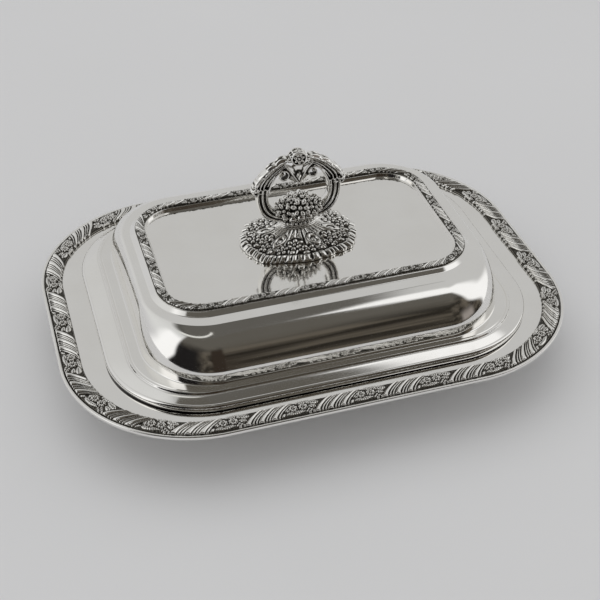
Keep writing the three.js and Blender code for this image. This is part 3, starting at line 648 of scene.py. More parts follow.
class Casting:
    def __init__(self):
        self.verts, self.faces, self.count = [], [], 0

    def add(self, verts, faces):
        self.verts.append(np.asarray(verts, float))
        self.faces += [[index + self.count for index in face] for face in faces]
        self.count += len(verts)

    def ellipsoid(self, centre, radii, axes=np.eye(3), sides=16):
        rows = max(sides // 2, 4)
        lean = np.linspace(0, math.pi, rows + 1)[1:-1]
        lean, turn = np.meshgrid(lean, turns(sides), indexing="ij")
        ball = np.stack([np.sin(lean) * np.cos(turn), np.sin(lean) * np.sin(turn), -np.cos(lean)], -1)
        verts = np.concatenate([ball.reshape(-1, 3), [[0, 0, -1], [0, 0, 1]]])
        faces = grid_faces(rows - 1, sides, "open")
        bottom, top = len(verts) - 2, len(verts) - 1
        last = (rows - 2) * sides
        for i in range(sides):
            j = (i + 1) % sides
            faces += [[bottom, j, i], [top, last + i, last + j]]
        self.add(np.asarray(centre) + (verts * radii) @ axes, faces)

    def bar(self, points, half_widths, half_depths, reference=(0, 1, 0), shift=0.0, lift=0.0, sides=12):
        """A bar with an oval section along a line. The shift is sideways, the lift along the depth."""
        tangent = unit(np.gradient(points, axis=0))
        side = unit(np.cross(reference, tangent))
        deep = np.cross(tangent, side)
        count = len(points)
        half_widths, half_depths, shift, lift = (
            np.broadcast_to(values, count)[:, None] for values in (half_widths, half_depths, shift, lift))
        centre = points + side * shift + deep * lift
        across = (half_widths * np.cos(turns(sides)))[:, :, None]
        down = (half_depths * np.sin(turns(sides)))[:, :, None]
        rings = centre[:, None, :] + side[:, None, :] * across + deep[:, None, :] * down
        self.add(rings.reshape(-1, 3), grid_faces(count, sides, "capped"))

    def daisy(self, centre, normal, radius, petals, turn=0.0, depth=0.3):
        """A flower head: a ring of round-ended petals about a boss, on a small disc."""
        axes = facing(normal)
        centre = np.asarray(centre, float)
        for i in range(petals):
            angle = turn + 2 * math.pi * i / petals
            out = math.cos(angle) * axes[0] + math.sin(angle) * axes[1]
            aside = np.cross(axes[2], out)
            tip = out * math.cos(0.25) + axes[2] * math.sin(0.25)
            petal_axes = np.array([tip, aside, np.cross(tip, aside)])
            radii = (0.36 * radius, 0.25 * radius, depth * radius)
            self.ellipsoid(centre + out * 0.66 * radius, radii, petal_axes, 12)
        disc = (0.75 * radius, 0.75 * radius, 0.28 * radius)
        self.ellipsoid(centre - axes[2] * 0.25 * radius, disc, axes)
        self.ellipsoid(centre + axes[2] * 0.12 * radius, (0.24 * radius,) * 3, axes, 10)

    def leaf(self, start, end, half_width, thickness, normal, bow):
        """A leaf from stalk to tip, ridged down the middle, bowed out along its normal."""
        share = np.linspace(0, 1, 14)
        straight = start + np.subtract(end, start) * share[:, None]
        line = straight + unit(normal) * (bow * np.sin(math.pi * share))[:, None]
        half = half_width * np.sin(math.pi * np.clip(share, 0.04, 0.97) ** 0.75)
        self.bar(line, half, thickness * (0.4 + 0.6 * np.sin(math.pi * share)), normal, sides=10)
        rib = 0.22 * thickness + 0.12
        self.bar(line, rib, rib, normal, lift=-0.9 * thickness, sides=6)

    def scroll(self, centre, radius, rounds, wire, depth, side, start_degrees, shrink):
        """A wire that curls in on itself, in the X-Z plane."""
        share = np.linspace(0, 1, 40)
        angle = math.radians(start_degrees) + share * rounds * 2 * math.pi
        reach = radius * (1 - shrink * share)
        x = centre[0] + side * reach * np.cos(angle)
        z = centre[2] + reach * np.sin(angle)
        line = np.stack([x, np.full(len(x), centre[1]), z], -1)
        taper = 1 - 0.35 * share
        self.bar(line, wire * taper, depth * taper, sides=10)
        self.ellipsoid(line[-1], (wire * 1.15, depth * 0.9, wire * 1.15), sides=10)

    def cast(self, name, material, voxel=CAST_VOXEL):
        obj = make_object(name, np.concatenate(self.verts), self.faces, material)
        remesh = obj.modifiers.new("fuse", "REMESH")
        remesh.mode = "VOXEL"
        remesh.voxel_size = voxel * MM
        remesh.use_smooth_shade = True
        depsgraph = bpy.context.evaluated_depsgraph_get()
        fused = bpy.data.meshes.new_from_object(obj.evaluated_get(depsgraph))
        obj.modifiers.clear()
        rough = obj.data
        obj.data = fused
        fused.name = name
        bpy.data.meshes.remove(rough)
        relax(fused, 2)
        fine = hollows(fused, 12, voxel * MM) * 2.8
        broad = hollows(fused, 60, voxel * MM) * 0.8
        set_tarnish_and_seam_shadow(obj, np.maximum(fine, 0) + np.clip(broad, 0, 0.45))
        return obj


def facing(normal):
    """Three axes as rows, the last along the normal."""
    normal = unit(normal)
    upright = (0, 0, 1) if abs(normal[2]) < 0.9 else (0, 1, 0)
    first = unit(np.cross(upright, normal))
    return np.array([first, np.cross(normal, first), normal])


def read_mesh(items, attribute, width, kind=float):
    values = np.empty(len(items) * width, kind)
    items.foreach_get(attribute, values)
    return values.reshape(-1, width)


def neighbour_mean(mesh):
    """A function that gives each vertex the mean of its neighbours' values."""
    first, second = read_mesh(mesh.edges, "vertices", 2, np.int64).T
    count = len(mesh.vertices)
    links = np.bincount(first, minlength=count) + np.bincount(second, minlength=count)

    def mean(values):
        out = np.empty_like(values)
        for axis in range(values.shape[1]):
            total = np.bincount(first, values[second, axis], count)
            total += np.bincount(second, values[first, axis], count)
            out[:, axis] = total / np.maximum(links, 1)
        return out
    return mean


def relax(mesh, rounds):
    mean = neighbour_mean(mesh)
    points = read_mesh(mesh.vertices, "co", 3)
    for _ in range(rounds):
        points += 0.5 * (mean(points) - points)
    mesh.vertices.foreach_set("co", points.reshape(-1))
    mesh.update()


def hollows(mesh, rounds, size):
    """How far each point lies below its surroundings, in steps of the given size."""
    mean = neighbour_mean(mesh)
    points = read_mesh(mesh.vertices, "co", 3)
    smooth = points.copy()
    for _ in range(rounds):
        smooth = mean(smooth)
    depth = ((smooth - points) * read_mesh(mesh.vertices, "normal", 3)).sum(1) / size
    return mean(depth[:, None])[:, 0]


def curve(points, count):
    """A smooth line through the points."""
    points = np.asarray(points, float)
    padded = np.vstack([2 * points[0] - points[1], points, 2 * points[-1] - points[-2]])
    place = np.linspace(0, len(points) - 1, count)
    index = np.clip(place.astype(int), 0, len(points) - 2)
    t = (place - index)[:, None]
    a, b, c, d = (padded[index + k] for k in range(4))
    cubic = (3 * b - a - 3 * c + d) * t ** 3
    return 0.5 * (2 * b + (c - a) * t + (2 * a - 5 * b + 4 * c - d) * t ** 2 + cubic)


# Lines of the handle's right half, X and Z. The arm's are shares of the loop's reach and rise.
ARM_PATH = ((0.4, 0.095), (0.68, 0.16), (0.87, 0.255), (0.97, 0.38), (1, 0.51), (0.985, 0.635))
ARM_RIBS = ((-0.69, 0.93), (0.0, 1.0), (0.69, 0.93))  # place across the arm, share of its depth
SHOULDER_OUTER = ((26.0, 104.2), (24.6, 108.4), (21.0, 112.6), (16.4, 116.4), (11.4, 119.4), (6.8, 121.8))
SHOULDER_INNER = ((17.6, 101.6), (17.0, 104.6), (15.2, 108.2), (13.2, 111.2), (11.0, 113.6), (8.2, 115.4))
SHOULDER_SCROLL = (
    (17.9, 99.8), (17.6, 103.2), (16.4, 106.6), (14.6, 109.8), (12.4, 112.6), (9.8, 114.0), (7.2, 113.2),
    (6.0, 110.8), (7.0, 108.4), (9.2, 107.8), (10.8, 109.2), (10.4, 110.9), (9.2, 111.2),
)
SHOULDER_RIBS = ((0.34, 0.85, 0), (0.58, 0.7, 3), (0.8, 0.6, 8))  # share inwards, half width, first point
SHOULDER_LEAVES = (  # stalk, tip, half width
    ((6.4, 121.4), (15.6, 116.4), 2.4),
    ((12.4, 118.6), (21.2, 111.4), 2.5),
    ((18.6, 114.2), (26.4, 104.8), 2.3),
)
SHOULDER_BEADS = ((26.2, 106.4, 1.5), (24.8, 108.9, 1.2), (27.0, 103.6, 1.4))  # the last is the radius


def add_arm(casting, side):
    """An arm from the foot up to its shoulder: three ribs on a web."""
    path = [(side * LOOP_REACH * reach, 0, bouquet_low[2] + LOOP_RISE * rise) for reach, rise in ARM_PATH]
    line = curve(path, 48)
    grown = np.minimum(np.linspace(0, 1, len(line)) / 0.4, 1)
    half = ARM_WIDTH / 2 * (0.72 + 0.28 * grown)
    deep = ARM_DEPTH / 2 * (0.8 + 0.2 * grown)
    casting.bar(line, half * 0.92, deep * 0.72, sides=16)
    for place, depth in ARM_RIBS:
        casting.bar(line, half * 0.32, deep * depth, shift=half * place)


def add_shoulder(casting, side):
    """Leaves and a curled wire, from the top of the arm up to the cup."""
    def line(pairs, count):
        return curve([(side * x, 0, z) for x, z in pairs], count)

    outer, inner = line(SHOULDER_OUTER, 40), line(SHOULDER_INNER, 40)
    share = np.linspace(0, 1, 40)
    casting.bar((outer + inner) / 2, np.linalg.norm(outer - inner, axis=1) / 2, 0.6, sides=14)
    casting.bar(outer, 1.2 * (1 - 0.25 * share), 3.3 * (1 - 0.15 * share))
    for across, width, first in SHOULDER_RIBS:
        rib = (outer + (inner - outer) * across)[first:]
        casting.bar(rib, width * np.sin(math.pi * np.linspace(0.2, 0.9, len(rib))) ** 0.5, 2.7, sides=10)
    scroll = line(SHOULDER_SCROLL, 80)
    taper = 1 - 0.3 * np.linspace(0, 1, 80)
    casting.bar(scroll, 0.95 * taper, 3.4 * taper, sides=10)
    casting.ellipsoid(scroll[-1], (1.2, 2.4, 1.2), sides=12)
    for face in (-1, 1):
        for stalk, tip, half in SHOULDER_LEAVES:
            start, end = ((side * x, 2.5 * face, z) for x, z in (stalk, tip))
            casting.leaf(start, end, half, 1.3, (0, -face, 0), 1.2)
        casting.ellipsoid((side * 25.3, face * 2.3, 103.6), (1.3, 1.3, 1.3), sides=12)
    for x, z, radius in SHOULDER_BEADS:
        casting.ellipsoid((side * x, 0, z), (radius, 2.7, radius), sides=12)
    casting.scroll((side * 25.0, 0, 103.4), 2.4, 1.2, 0.75, 3.3, side, -100, 0.8)
    casting.ellipsoid((side * 22.0, 0, 101.9), (2.6, 3.5, 0.9))
    casting.ellipsoid((side * 18.9, 0, 100.6), (1.2, 3.4, 1.0))


def add_cup(casting):
    """The cup of the top flower: broad petals under it, beads over it."""
    angle = np.linspace(0, 2 * math.pi, 40)
    for y, rise, width, depth in ((-2.5, 3.9, 0.5, 0.8), (2.5, 3.9, 0.5, 0.8), (0.0, 3.7, 0.35, 2.4)):
        rim = np.stack([4.2 * np.cos(angle), np.full(40, y), CUP_HEIGHT + rise * np.sin(angle)], -1)
        casting.bar(rim, width, depth, sides=10)
    casting.ellipsoid((0, 0, 111.5), (5.4, 1.4, 5.8), sides=20)
    for face in (-1, 1):
        normal, y = (0, -face, 0), 2.0 * face
        for side in (-1, 1):
            casting.leaf((0.2 * side, y, 105.6), (8.2 * side, y, 117.6), 3.6, 1.3, normal, 1.7)
            casting.ellipsoid((5.6 * side, y, CUP_HEIGHT - 0.8), (1.3, 1.2, 1.3), sides=10)
        casting.leaf((0, 2.6 * face, 104.6), (0, 2.9 * face, 113.2), 1.9, 1.2, normal, 1.3)
    for degrees in range(0, 181, 30):
        turn = math.radians(degrees)
        x, z = 5.0 * math.cos(turn), CUP_HEIGHT - 1.0 + 4.3 * math.sin(turn)
        for y in (-2.0, 0.0, 2.0):
            casting.ellipsoid((x, y, z), (1.15, 1.0, 1.15), sides=10)


def make_loop(material):
    casting = Casting()
    for side in (-1, 1):
        add_arm(casting, side)
        add_shoulder(casting, side)
    add_cup(casting)
    return casting.cast("handle_loop_casting", material)


def make_rosette(material):
    casting = Casting()
    casting.ellipsoid((0, 0, CUP_HEIGHT), (3.8, 1.6, 3.8), sides=24)
    for face in (-1, 1):
        casting.daisy((0, face * 2.4, CUP_HEIGHT), (0, face, 0.2), 3.4, 7, 0.2, 0.42)
    return casting.cast("handle_rosette_flower", material, voxel=0.18)


FLOWERS = (  # along, height over the foot of the bunch, radius, petals
    (-0.6, 12.4, 5.8, 6), (-9.6, 10.8, 4.6, 5), (9.2, 10.2, 4.4, 5), (-5.0, 15.2, 3.4, 5),
    (5.0, 15.0, 3.4, 5),
)
PEARLS = (  # along, height, radius
    (-4.4, 4.6, 2.4), (0.2, 5.2, 2.6), (4.8, 4.8, 2.4), (8.8, 5.4, 1.9), (-8.6, 5.4, 1.9), (-12.4, 8.0, 1.9),
    (12.4, 7.6, 1.9), (-4.2, 8.6, 1.7), (4.0, 8.4, 1.7),
)
BOUQUET_RISES = (0, 0.25, 0.5, 0.7, 0.86, 1)
BOUQUET_REACHES = (0.56, 0.76, 0.93, 1, 0.9, 0.5)
BOUQUET_CORES = ((0.62, 0.86, 0.66, 0.3), (0.32, 0.66, 0.56, 0.3), (0.1, 0.58, 0.6, 0.14))  # rise, then radii
TOP_FLOWERS = ((-0.8, 0.84), (-0.3, 0.97), (0.3, 0.98), (0.8, 0.82))
BOUQUET_HALF_X, BOUQUET_HALF_Y, BOUQUET_SIZE = np.subtract(bouquet_high, bouquet_low) * (0.5, 0.5, 1)


def on_bouquet(x, rise, face):
    """A point and outward direction on the front or back of the bunch."""
    reach = np.interp(rise / BOUQUET_SIZE, BOUQUET_RISES, BOUQUET_REACHES)
    along = np.clip(x / (BOUQUET_HALF_X * reach), -0.97, 0.97)
    depth = math.sqrt(1 - along ** 2)
    point = np.array([x, face * BOUQUET_HALF_Y * reach * depth * 0.9, bouquet_low[2] + rise])
    lean = 0.16 * (rise / BOUQUET_SIZE - 0.45)
    return point, unit([along / BOUQUET_HALF_X, face * depth / BOUQUET_HALF_Y, lean])


def make_bouquet(material):
    casting = Casting()
    base = bouquet_low[2]
    for rise, across, deep, tall in BOUQUET_CORES:
        radii = (BOUQUET_HALF_X * across, BOUQUET_HALF_Y * deep, BOUQUET_SIZE * tall)
        casting.ellipsoid((0, 0, base + BOUQUET_SIZE * rise), radii, sides=24)
    for face in (-1, 1):
        for x, rise, radius, petals in FLOWERS:
            point, normal = on_bouquet(face * -x, rise, face)
            casting.daisy(point, normal, radius, petals, 0.3 * x, 0.34)
        for x, rise, radius in PEARLS:
            point, normal = on_bouquet(face * -x, rise, face)
            casting.ellipsoid(point + normal * 0.4, (radius,) * 3, sides=14)
    for along, up in TOP_FLOWERS:
        casting.daisy((BOUQUET_HALF_X * along, 0, base + BOUQUET_SIZE * up), (along, 0, 1), 4.0, 5)
    for turn in turns(24):
        bead = (9.8 * math.cos(turn), 5.2 * math.sin(turn), base + 0.9)
        casting.ellipsoid(bead, (1.05, 1.05, 1.05), sides=10)
    casting.ellipsoid((0, 0, base + 1.6), (9.0, 4.6, 1.6), sides=24)
    return casting.cast("handle_bouquet_flowers", material)


def full_ring(half, fullness, turn):
    """An oval with its two half widths, swollen towards a rectangle where the fullness is over 1."""
    return half * powered(around(turn), 1 / fullness)


def foot_relief(turn, share):
    """Heights of the ornament on the foot: share runs from its edge, 0, to its neck, 1."""
    run = (FOOT_ROUND + (NECK_ROUND - FOOT_ROUND) * share) / FOOT_REPEATS / FOOT_SLOPE
    u = np.mod(turn * FOOT_REPEATS / (2 * math.pi), 1)
    relief = Relief(u, share, run)
    flute = np.mod(u * 5 + 0.6 * np.sin(4 * math.pi * u) * (1 - share) + 0.5, 1) - 0.5
    length = 0.4 + 0.08 * np.cos(4 * math.pi * u)
    ends = fade(share, length, length + 0.1)
    relief.raise_to(dome(flute, 0.37, 1.2) * ends)
    for place, lean in ((0.12, 8), (0.38, -8), (0.63, 8), (0.87, -8)):
        relief.leaf(place, 0.92, 0.55, 0.1, 270 + lean, 4, 1.35)
    for place, lean in ((0.06, 38), (0.44, -38), (0.56, 38), (0.94, -38)):
        relief.leaf(place, 0.2, 0.42, 0.12, 90 + lean, 2, 1.25)
    for place, lean in ((0.3, 50), (0.2, -50), (0.8, 50), (0.7, -50)):
        relief.leaf(place, 0.2, 0.3, 0.1, 90 + lean, 2, 1.1)
    relief.daisy(0.25, 0.53, 0.21, 6, 1.6)
    relief.leaf(0.25, 0.74, 0.22, 0.08, 90, 2, 1.1)
    across, up = relief.local(0.75, 0.62)
    oval = np.hypot(across / 0.14, up / 0.2)
    relief.heights = np.where(oval < 1.15, 0.1, relief.heights)
    relief.raise_to(dome(oval - 0.82, 0.32, 1.35))
    relief.raise_to(dome(np.hypot(across / 0.06, up / 0.1), 1, 1.0))
    for place in (0.0, 0.5):
        relief.daisy(place, 0.33, 0.16, 5, 1.5)
    for place in (0.25, 0.75):
        relief.berry(place, 0.26, 0.07, 1.3)
    wander = 0.012 * np.sin(2 * math.pi * (2 * u + 0.2))
    ribs = (np.mod((u + wander) * FOOT_RIBS + 0.25, 1) - 0.5) / FOOT_RIBS * run
    ends = window(share, 0.0, 0.03, 0.15, 0.2)
    relief.heights *= fade(share, 0.16, 0.21)
    wave = 0.8 + 0.2 * np.cos(2 * math.pi * u * FOOT_RIBS / 3)
    relief.raise_to(dome(ribs, 0.066, 1.3) * ends * wave)
    return relief.heights


FOOT_PROFILE = (  # share from its edge to its neck, share of its height
    (0, 0.03, 0.1, 0.2, 0.35, 0.55, 0.75, 0.9, 1),
    (0.04, 0.12, 0.26, 0.37, 0.44, 0.54, 0.68, 0.86, 1.0),
)


def make_foot(material):
    """The spreading foot: a relief over a dome, with a thin lip and a plain hollow underneath."""
    half = np.subtract(foot_high, foot_low)[:2] / 2 - FOOT_LOBE
    low, top = foot_low[2], foot_high[2]
    turn, share = turns(FOOT_ROUND_STEPS), np.linspace(0, 1, FOOT_RADIAL_STEPS)
    share_grid, turn_grid = np.meshgrid(share, turn, indexing="ij")
    relief = foot_relief(turn_grid, share_grid)
    scallop = np.abs(np.cos(turn * FOOT_LOBES / 2)) ** 0.7 - 1 + 0.9 * np.cos(turn * FOOT_CORNERS)
    rows = []
    for inward, height, heights in zip(share, np.interp(share, *FOOT_PROFILE), relief):
        fullness = FOOT_FULLNESS + (1 - FOOT_FULLNESS) * inward
        swell = FOOT_LOBE * scallop * (1 - inward) ** 2 + heights * 0.7 * (1 - fade(inward, 0.15, 0.3))
        flat = full_ring(half + (NECK_HALF - half) * inward, fullness, turn)
        out = 1 + swell / np.linalg.norm(flat, axis=1)
        z = low + (top - low - 1.2) * height + heights * FOOT_RELIEF
        rows.append(at_height(flat * out[:, None], np.minimum(z, top)))
    inner = full_ring(half - FOOT_WALL, FOOT_FULLNESS, turn)
    bore, neck = full_ring(STUD_BORE, 1, turn), full_ring(NECK_HALF, 1, turn)
    roof = top - FOOT_ROOF
    hollow = [at_height(flat, z) for flat, z in (
        (bore, low + STUD_BORE_DEPTH), (bore, low), (bore * STUD_BOSS[0], low), (bore * STUD_BOSS[1], roof),
        (neck, roof), (inner, low + 0.3), (inner, low), (rows[0][:, :2], low))]
    obj = make_tube("handle_foot_casting", hollow + rows, "capped", material, 70)
    ground = GROUND_TARNISH * (1 - fade(relief, 0.04, 0.2)) * window(share_grid, 0.0, 0.03, 0.96, 1.0)
    inside = np.zeros(len(hollow) * len(turn))
    ground = np.concatenate([inside, ground.reshape(-1)])
    set_tarnish_and_seam_shadow(obj, np.maximum(hollows(obj.data, 10, 0.24 * MM) * 2.4, ground))
    return obj


def make_collar(material):
    """An oval ring of two rounds, one over the other."""
    low, top = collar_low[2] - COLLAR_OVERLAP, collar_high[2] + COLLAR_OVERLAP
    rings = []
    for share in np.linspace(0, 1, COLLAR_ROWS + 1):
        proud = 0.15 + 0.65 * abs(math.sin(2 * math.pi * share)) ** 0.7
        oval = full_ring(NECK_HALF + proud - 0.3, 1, turns(COLLAR_STEPS))
        rings.append(at_height(oval, low + (top - low) * share))
    obj = make_tube("handle_collar_ring", rings, "capped", material, 60)
    set_tarnish_and_seam_shadow(obj, hollows(obj.data, 4, 0.2 * MM) * 2.5)
    return obj


# Materials

def grey(value):
    return (value, value, value)


class Nodes:
    """The node tree of a material or of the world, with short ways to add to it."""

    def __init__(self, owner):
        owner.use_nodes = True
        self.owner, self.tree = owner, owner.node_tree

    def feed(self, node, inputs):
        """Sets inputs, by name or number, to links, numbers, scales or colours."""
        for key, value in inputs.items():
            socket = node.inputs[key]
            if isinstance(value, bpy.types.NodeSocket):
                self.tree.links.new(value, socket)
            else:
                socket.default_value = (*value, 1) if socket.type == "RGBA" else value
        return node

    def add(self, kind, inputs, **settings):
        node = self.tree.nodes.new("ShaderNode" + kind)
        for name, value in settings.items():
            setattr(node, name, value)
        return self.feed(node, inputs)

    def compute(self, operation, *values):
        return self.add("Math", dict(enumerate(values)), operation=operation).outputs[0]

    def noise(self, scale, detail, stretch=(1, 1, 1)):
        place = self.add("TexCoord", {}).outputs["Object"]
        place = self.add("Mapping", {"Vector": place, "Scale": stretch}).outputs["Vector"]
        return self.add("TexNoise", {"Vector": place, "Scale": scale, "Detail": detail}).outputs["Fac"]

    # Reads the castings' patina and the painted shadow of the seam.
    def tarnish_and_seam_shadow(self):
        return self.add("Attribute", {}, attribute_name="tarnish_and_seam_shadow").outputs["Fac"]

    def ramp(self, factor, *stops):
        node = self.add("ValToRGB", {"Fac": factor})
        elements = node.color_ramp.elements
        while len(elements) < len(stops):
            elements.new(0.5)
        for element, (place, colour) in zip(elements, stops):
            element.position = place
            element.color = (*colour, 1)
        return node.outputs["Color"]

    def blend(self, mask, under, over):
        return self.add("Mix", {0: mask, 6: under, 7: over}, data_type="RGBA").outputs[2]

    def mask(self, *edges):
        """1 past all edges. An edge is a value, where its step starts and where it ends, in either order."""
        out = None
        for value, start, end in edges:
            rising = start < end
            step = self.add("MapRange", {
                "Value": value, "From Min": min(start, end), "From Max": max(start, end),
                "To Min": 0 if rising else 1, "To Max": 1 if rising else 0,
            }, interpolation_type="SMOOTHSTEP").outputs["Result"]
            out = step if out is None else self.compute("MULTIPLY", out, step)
        return out

    def paint(self, under, *layers):
        """Layers over a colour, each a colour and the edges of its mask."""
        for colour, *edges in layers:
            under = self.blend(self.mask(*edges), under, colour)
        return under

    def surface(self, inputs):
        self.feed(self.tree.nodes["Principled BSDF"], inputs)
        return self.owner

    def metal(self, colour, rough, ripple, strength, distance):
        bump = self.add("Bump", {"Height": ripple, "Strength": strength, "Distance": distance})
        return self.surface({"Metallic": 1, "Base Color": colour, "Roughness": rough,
                             "Normal": bump.outputs["Normal"]})


def sheet_silver(name, painted_seam_shadow):
    """Polished silver plate: near mirror, with faint hairlines and a slow waver of the hammered sheet. Where
    the attribute marks the seam, the second kind is painted near black as the seam's shadow.
    """
    nodes = Nodes(bpy.data.materials.new(name))
    colour = nodes.ramp(nodes.noise(35, 4), (0.3, (0.90, 0.885, 0.855)), (0.7, (0.935, 0.925, 0.90)))
    if painted_seam_shadow:
        # Painted shadow: near black where the seam lies under the cover's edge.
        colour = nodes.blend(nodes.tarnish_and_seam_shadow(), colour, (0.02, 0.018, 0.015))
    hairlines = nodes.noise(420, 5, (1, 9, 1))
    rough = nodes.ramp(hairlines, (0.35, grey(0.055)), (0.75, grey(0.10)))
    return nodes.metal(colour, rough, nodes.noise(28, 1), 0.05, 0.0006)


def cast_silver():
    """Cast ornament: bright where it is rubbed, black in the hollows."""
    nodes = Nodes(bpy.data.materials.new("cast_silver_plate"))
    spread = nodes.compute("MULTIPLY_ADD", nodes.noise(900, 3), 0.25, nodes.tarnish_and_seam_shadow())
    colour = nodes.ramp(spread, (0.12, (0.93, 0.92, 0.89)), (0.38, (0.72, 0.70, 0.66)),
                        (0.62, (0.2, 0.19, 0.165)), (0.95, (0.035, 0.032, 0.028)))
    rough = nodes.ramp(spread, (0.12, grey(0.12)), (0.6, grey(0.42)))
    return nodes.metal(colour, rough, nodes.noise(1400, 2), 0.12, 0.0001)


def dull_brass():
    nodes = Nodes(bpy.data.materials.new("dull_brass"))
    colour = nodes.ramp(nodes.noise(260, 4), (0.3, (0.42, 0.31, 0.13)), (0.7, (0.62, 0.49, 0.24)))
    rough = nodes.ramp(nodes.noise(500, 3), (0.3, grey(0.28)), (0.7, grey(0.45)))
    return nodes.metal(colour, rough, nodes.noise(900, 2), 0.1, 0.0001)


def floor_material():
    nodes = Nodes(bpy.data.materials.new("pale_floor"))
    colour = nodes.ramp(nodes.noise(3, 3), (0.3, (0.70, 0.70, 0.705)), (0.7, (0.715, 0.715, 0.72)))
    return nodes.surface({"Base Color": colour, "Roughness": 0.6, "Specular IOR Level": 0.2})


# Stage, light and camera

def make_floor(material):
    half = FLOOR_HALF
    verts = [[-half, -half, 0], [half, -half, 0], [half, half, 0], [-half, half, 0]]
    floor = make_object("floor", verts, [[0, 1, 2, 3]], material)


def studio_directions(nodes):
    """Azimuth from the front, positive towards +X, and elevation, in degrees; X; and the direction."""
    direction = nodes.add("TexCoord", {}).outputs["Generated"]
    x, y, z = nodes.add("SeparateXYZ", {0: direction}).outputs
    azimuth = nodes.compute("ARCTAN2", x, nodes.compute("MULTIPLY", y, -1.0))
    azimuth = nodes.compute("MULTIPLY", azimuth, math.degrees(1))
    elevation = nodes.compute("MULTIPLY", nodes.compute("ARCSINE", z), math.degrees(1))
    return azimuth, elevation, x, direction


def room_beyond(nodes, azimuth, elevation, direction):
    """The dim room seen through the open front of the light tent."""
    spots = nodes.add("TexNoise", {"Vector": direction, "Scale": 5, "Detail": 3}).outputs["Fac"]
    return nodes.paint(
        nodes.ramp(spots, (0.38, (0.02, 0.017, 0.013)), (0.62, (0.11, 0.095, 0.075))),
        # its ceiling, its dark left, a figure and something pale
        ((0.105, 0.098, 0.085), (elevation, 35, 60)),
        ((0.011, 0.01, 0.01), (azimuth, -18, -38), (elevation, 58, 38)),
        ((0.03, 0.022, 0.016), (azimuth, -14, -8), (azimuth, 12, 6), (elevation, 52, 44)),
        ((0.3, 0.27, 0.25), (azimuth, 34, 42), (azimuth, 62, 54), (elevation, 0, 4), (elevation, 26, 8)),
    )


def tent_colour(nodes):
    """A white light tent, open at the front, with a soft lamp in each front edge and a dim hole on top."""
    azimuth, elevation, x, direction = studio_directions(nodes)
    left_edge = nodes.compute("MULTIPLY_ADD", nodes.mask((elevation, 22, -14)), -15.0, -66.0)
    right_edge = nodes.compute("MULTIPLY_ADD", nodes.mask((elevation, 34, 2)), 20.0, 58.0)
    right_edge = nodes.compute("MULTIPLY_ADD", nodes.mask((elevation, 58, 66)), -12.0, right_edge)
    from_left = nodes.compute("SUBTRACT", azimuth, left_edge)
    from_right = nodes.compute("SUBTRACT", azimuth, right_edge)
    walls = nodes.paint(
        nodes.blend(nodes.mask((x, -0.75, 0.1)), (0.70, 0.705, 0.70), (0.545, 0.545, 0.54)),
        # their lower left, the left lamp and the right one
        ((0.58, 0.58, 0.59), (x, 0.1, -0.5), (elevation, 40, 0)),
        ((1.0, 1.0, 1.0), (from_left, -38, -22), (from_left, 14, 6), (elevation, 62, 50)),
        ((0.97, 0.97, 0.97), (from_right, 36, 24), (from_right, -16, -6), (elevation, 76, 72)),
    )
    beam = nodes.mask((azimuth, 47, 53), (azimuth, 118, 108))
    top = nodes.compute("MULTIPLY", nodes.mask((elevation, 62, 70)), nodes.compute("SUBTRACT", 1.0, beam))
    walls = nodes.blend(top, walls, (0.09, 0.087, 0.078))
    opening = nodes.mask((from_left, -3, 3), (from_right, 4, -4))
    rise = nodes.compute("MULTIPLY_ADD", azimuth, 0.17, 80.5)
    off = nodes.compute("ABSOLUTE", nodes.compute("SUBTRACT", elevation, rise))
    return nodes.paint(
        nodes.blend(opening, walls, room_beyond(nodes, azimuth, elevation, direction)),
        # the hole on top and a pale strip across it
        ((0.11, 0.105, 0.095), (elevation, 71, 74)),
        ((0.75, 0.75, 0.72), (off, 2.6, 1.2), (azimuth, -100, -80), (azimuth, 34, 10)),
    )


def make_world():
    world = bpy.data.worlds.new("studio")
    bpy.context.scene.world = world
    nodes = Nodes(world)
    path = nodes.add("LightPath", {})
    even = nodes.blend(path.outputs["Is Camera Ray"], grey(FLOOR_LIGHT), (0.58, 0.58, 0.585))
    colour = nodes.blend(path.outputs["Is Glossy Ray"], even, tent_colour(nodes))
    nodes.feed(nodes.tree.nodes["Background"], {"Color": colour, "Strength": 1})


def make_lamp():
    """Soft light over the tent. It shapes the shadow on the floor and stays out of the mirror."""
    data = bpy.data.lights.new("tent_light", "SUN")
    data.angle = math.radians(LAMP_SOFTNESS)
    data.energy = LAMP_STRENGTH
    lamp = add_object("tent_light", data)
    lamp.rotation_euler = (-Vector(LAMP_DIRECTION)).to_track_quat("-Z", "Y").to_euler()
    lamp.visible_glossy = False


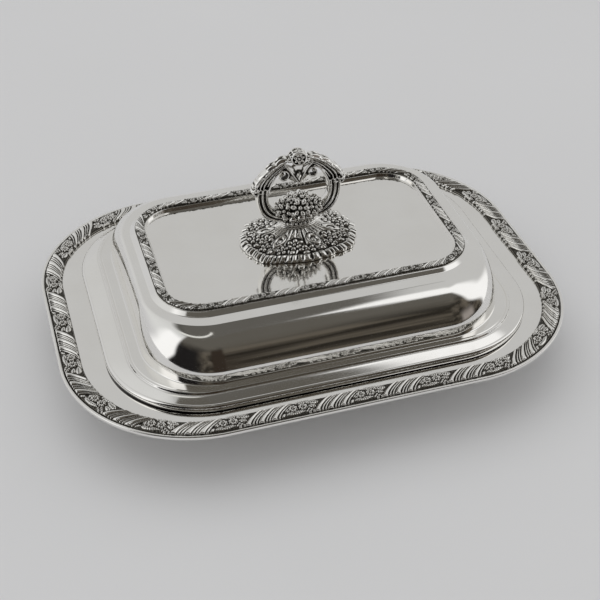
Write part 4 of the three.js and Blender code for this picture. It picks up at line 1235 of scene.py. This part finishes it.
def make_camera():
    turn, level = CAMERA_AZIMUTH, math.cos(CAMERA_ELEVATION)
    back = Vector((math.sin(turn) * level, -math.cos(turn) * level, math.sin(CAMERA_ELEVATION)))
    right = (-back).cross(Vector((0, 0, 1))).normalized()
    up = right.cross(-back)
    cos, sin = math.cos(CAMERA_ROLL), math.sin(CAMERA_ROLL)
    right, up = right * cos + up * sin, up * cos - right * sin
    data = bpy.data.cameras.new("camera")
    data.sensor_width = SENSOR_WIDTH
    data.lens = CAMERA_LENS
    data.clip_start, data.clip_end = CLIP_RANGE
    camera = add_object("camera", data)
    place = (Vector(CAMERA_TARGET) + back * CAMERA_DISTANCE) * MM
    camera.matrix_world = Matrix.Translation(place) @ Matrix((right, up, back)).transposed().to_4x4()
    bpy.context.scene.camera = camera


def build():
    # The second plate has the seam's shadow painted near black.
    plate, painted_seam_shadow = sheet_silver("polished_silver_plate", False), sheet_silver("silver_plate_painted_seam_shadow", True)
    casting = cast_silver()
    for make, material, body, node, slot in (
        (make_dish_body, plate, "dish", "dish_body", "plated_sheet"),
        (make_rim_wire, plate, "dish", "rim_edge_wire", "plated_sheet"),
        (make_rim_border, casting, "dish", "rim_border", "plated_casting"),
        (make_cover_body, plate, "cover", "cover_body", "plated_sheet"),
        (make_edge_band, painted_seam_shadow, "cover", "cover_edge_band", "plated_sheet"),
        (make_top_border, casting, "cover", "cover_top_border", "plated_casting"),
        (make_foot, casting, "handle", "handle_foot", "plated_casting"),
        (make_collar, casting, "handle", "handle_collar", "plated_casting"),
        (make_loop, casting, "handle", "handle_loop", "plated_casting"),
        (make_rosette, casting, "handle", "handle_rosette", "plated_casting"),
        (make_bouquet, casting, "handle", "handle_bouquet", "plated_casting"),
    ):
        piece = make(material)
        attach(piece, body)
        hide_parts(node)


def dress_fastening(material):
    for name in ("handle_stud", "handle_washer", "handle_nut"):
        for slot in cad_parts[name].material_slots:
            slot.material = material


build()
dress_fastening(dull_brass())
make_floor(floor_material())
make_world()
make_lamp()
make_camera()
bpy.context.scene.view_settings.view_transform = "Standard"
